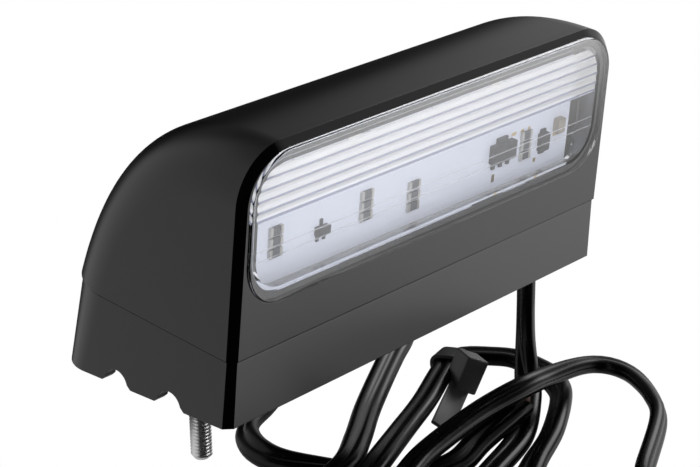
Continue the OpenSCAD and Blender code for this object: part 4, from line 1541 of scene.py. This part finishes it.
@dataclass(frozen=True)
class CableTie:
    """Nylon tie: a block head, a strap round the cable and the strap's free end.

    Attributes:
        head: Centre of the head.
        size: Width, length and thickness of the head.
        long_way: Direction of the head's length, downwards.
        wide_way: Direction of the head's width.
        strap: Place on the cable that the strap goes round.
        strap_w: Width of the strap.
        strap_t: Thickness of the strap.
        slack: Clearance between the strap and the cable.
        tail: Far end of the strap.
        edge: Radius of the edges.
        bend_r: Radius of the strap's inner bends.
    """

    library: MaterialLibrary
    head: Point = (36.5, -4.8, -27.3)
    size: Point = (5.5, 8.0, 6.0)
    long_way: Point = (-0.411, 0.163, -0.897)
    wide_way: Point = (0.811, -0.384, -0.442)
    strap: Point = (40.5, 2.7, -28.6)
    strap_w: float = 4.8
    strap_t: float = 0.8
    slack: float = 0.15
    tail: Point = (15.5, -15.0, -29.6)
    edge: float = 0.4
    bend_r: float = 1.3

    def _block(
        self, name: str, centre: np.ndarray, size: Sequence[float], long_way: np.ndarray
    ) -> bpy.types.Object:
        """Block with rounded edges whose width turns as far as the head's does."""
        long_way = long_way / np.linalg.norm(long_way)
        wide = np.array(self.wide_way) - long_way * (long_way @ np.array(self.wide_way))
        wide /= np.linalg.norm(wide)
        ways = (wide, long_way, np.cross(wide, long_way))
        points = []
        for c in (-0.5, 0.5):
            for a, b in ((-0.5, -0.5), (0.5, -0.5), (0.5, 0.5), (-0.5, 0.5)):
                points.append(centre + sum(k * v * w for k, v, w in zip((a, b, c), size, ways)))
        block = solid(name, points, BOX_FACES)
        mesh = bmesh.new()
        mesh.from_mesh(block.data)
        reach = min(self.edge, 0.4 * min(size)) * MM
        bmesh.ops.bevel(mesh, geom=mesh.edges, offset=reach, segments=3, profile=0.5, affect="EDGES")
        mesh.to_mesh(block.data)
        mesh.free()
        return block

    def _loop(self, cable: FlatCable) -> bpy.types.Object:
        """Closed band round the cable."""
        k = cable.nearest(self.strap)
        low, high = self.slack, self.slack + self.strap_t
        rings = []
        for grow, end in ((low, -1), (low, 1), (high, 1), (high, -1)):
            tall = cable.THICKNESS + 2 * grow
            ring = round_rect(
                cable.WIDTH + 2 * grow, -cable.THICKNESS / 2 - grow, tall, self.bend_r + grow, 6
            )
            shift = cable.centre[k] + end * self.strap_w / 2 * cable.along[k]
            rings.append([shift + x * cable.side[k] + z * cable.up[k] for x, z in ring])
        return loft("strap", rings, hoop=True)

    def build(self, cable: FlatCable) -> bpy.types.Object:
        """Build the tie on the cable."""
        centre, long_way = np.array(self.head), np.array(self.long_way)
        foot = centre + long_way * (self.size[1] / 2 - 1)
        reach = np.array(self.tail) - foot
        tie = self._block("nylon_tie", centre, self.size, long_way)
        tail = (self.strap_w, float(np.linalg.norm(reach)), self.strap_t)
        for part in (self._loop(cable), self._block("tail", foot + reach / 2, tail, reach)):
            combine(tie, part, Cut.JOIN)
        smooth(self.library.dress(tie, NYLON), 30)
        return finish_piece(tie, Slot.NYLON, "cable_tie")


class PackedPieces:
    """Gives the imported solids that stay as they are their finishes.

    Attributes:
        SLOTS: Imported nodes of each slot.
    """

    SLOTS: dict[Slot, tuple[str, ...]] = {
        Slot.BOARD: ("board",),
        Slot.REFLECTOR: ("reflector",),
        Slot.LED: ("led_left", "led_right"),
        Slot.CHIP: ("driver_chip", "transistor", "diode_right"),
        Slot.RESISTOR: ("resistors_left", "resistors_inner", "resistors_centre", "resistors_right"),
        Slot.CAPACITOR: ("capacitor_right",),
        Slot.SEAL: ("case_seal", "lens_seal", "grommet"),
        Slot.SCREW: ("board_screws", "case_screws"),
        Slot.CORE_BROWN: ("inner_core_a",),
        Slot.CORE_BLACK: ("inner_core_b",),
    }

    def __init__(self, nodes: dict[str, bpy.types.Object], library: MaterialLibrary) -> None:
        """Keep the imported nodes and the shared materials."""
        self.nodes = nodes
        self.library = library

    def finish(self) -> None:
        """Put each slot's material on the solids that show."""
        for slot, names in self.SLOTS.items():
            for name in names:
                self.library.dress(self.nodes[name], SLOT_FINISH[slot])
                LOG.info("finish on %s", name)


def main() -> None:
    logging.basicConfig(level=logging.INFO, format="%(name)s %(message)s")
    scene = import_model()
    library = MaterialLibrary()
    frame = CapFrame()
    CameraRig().build()
    FlatCable(library).build()
    Housing(frame, library).cap()
    Base(frame, library).build()
    Lens(frame, library).build()
    Stud(library, (-47.3, -8.8)).build("stud_left")
    Stud(library, (47.3, 8.8)).build("stud_right")
    Board(frame, library).build()
    PackedPieces(scene["nodes"], library).finish()
    Studio().build()


if __name__ == "__main__":
    main()
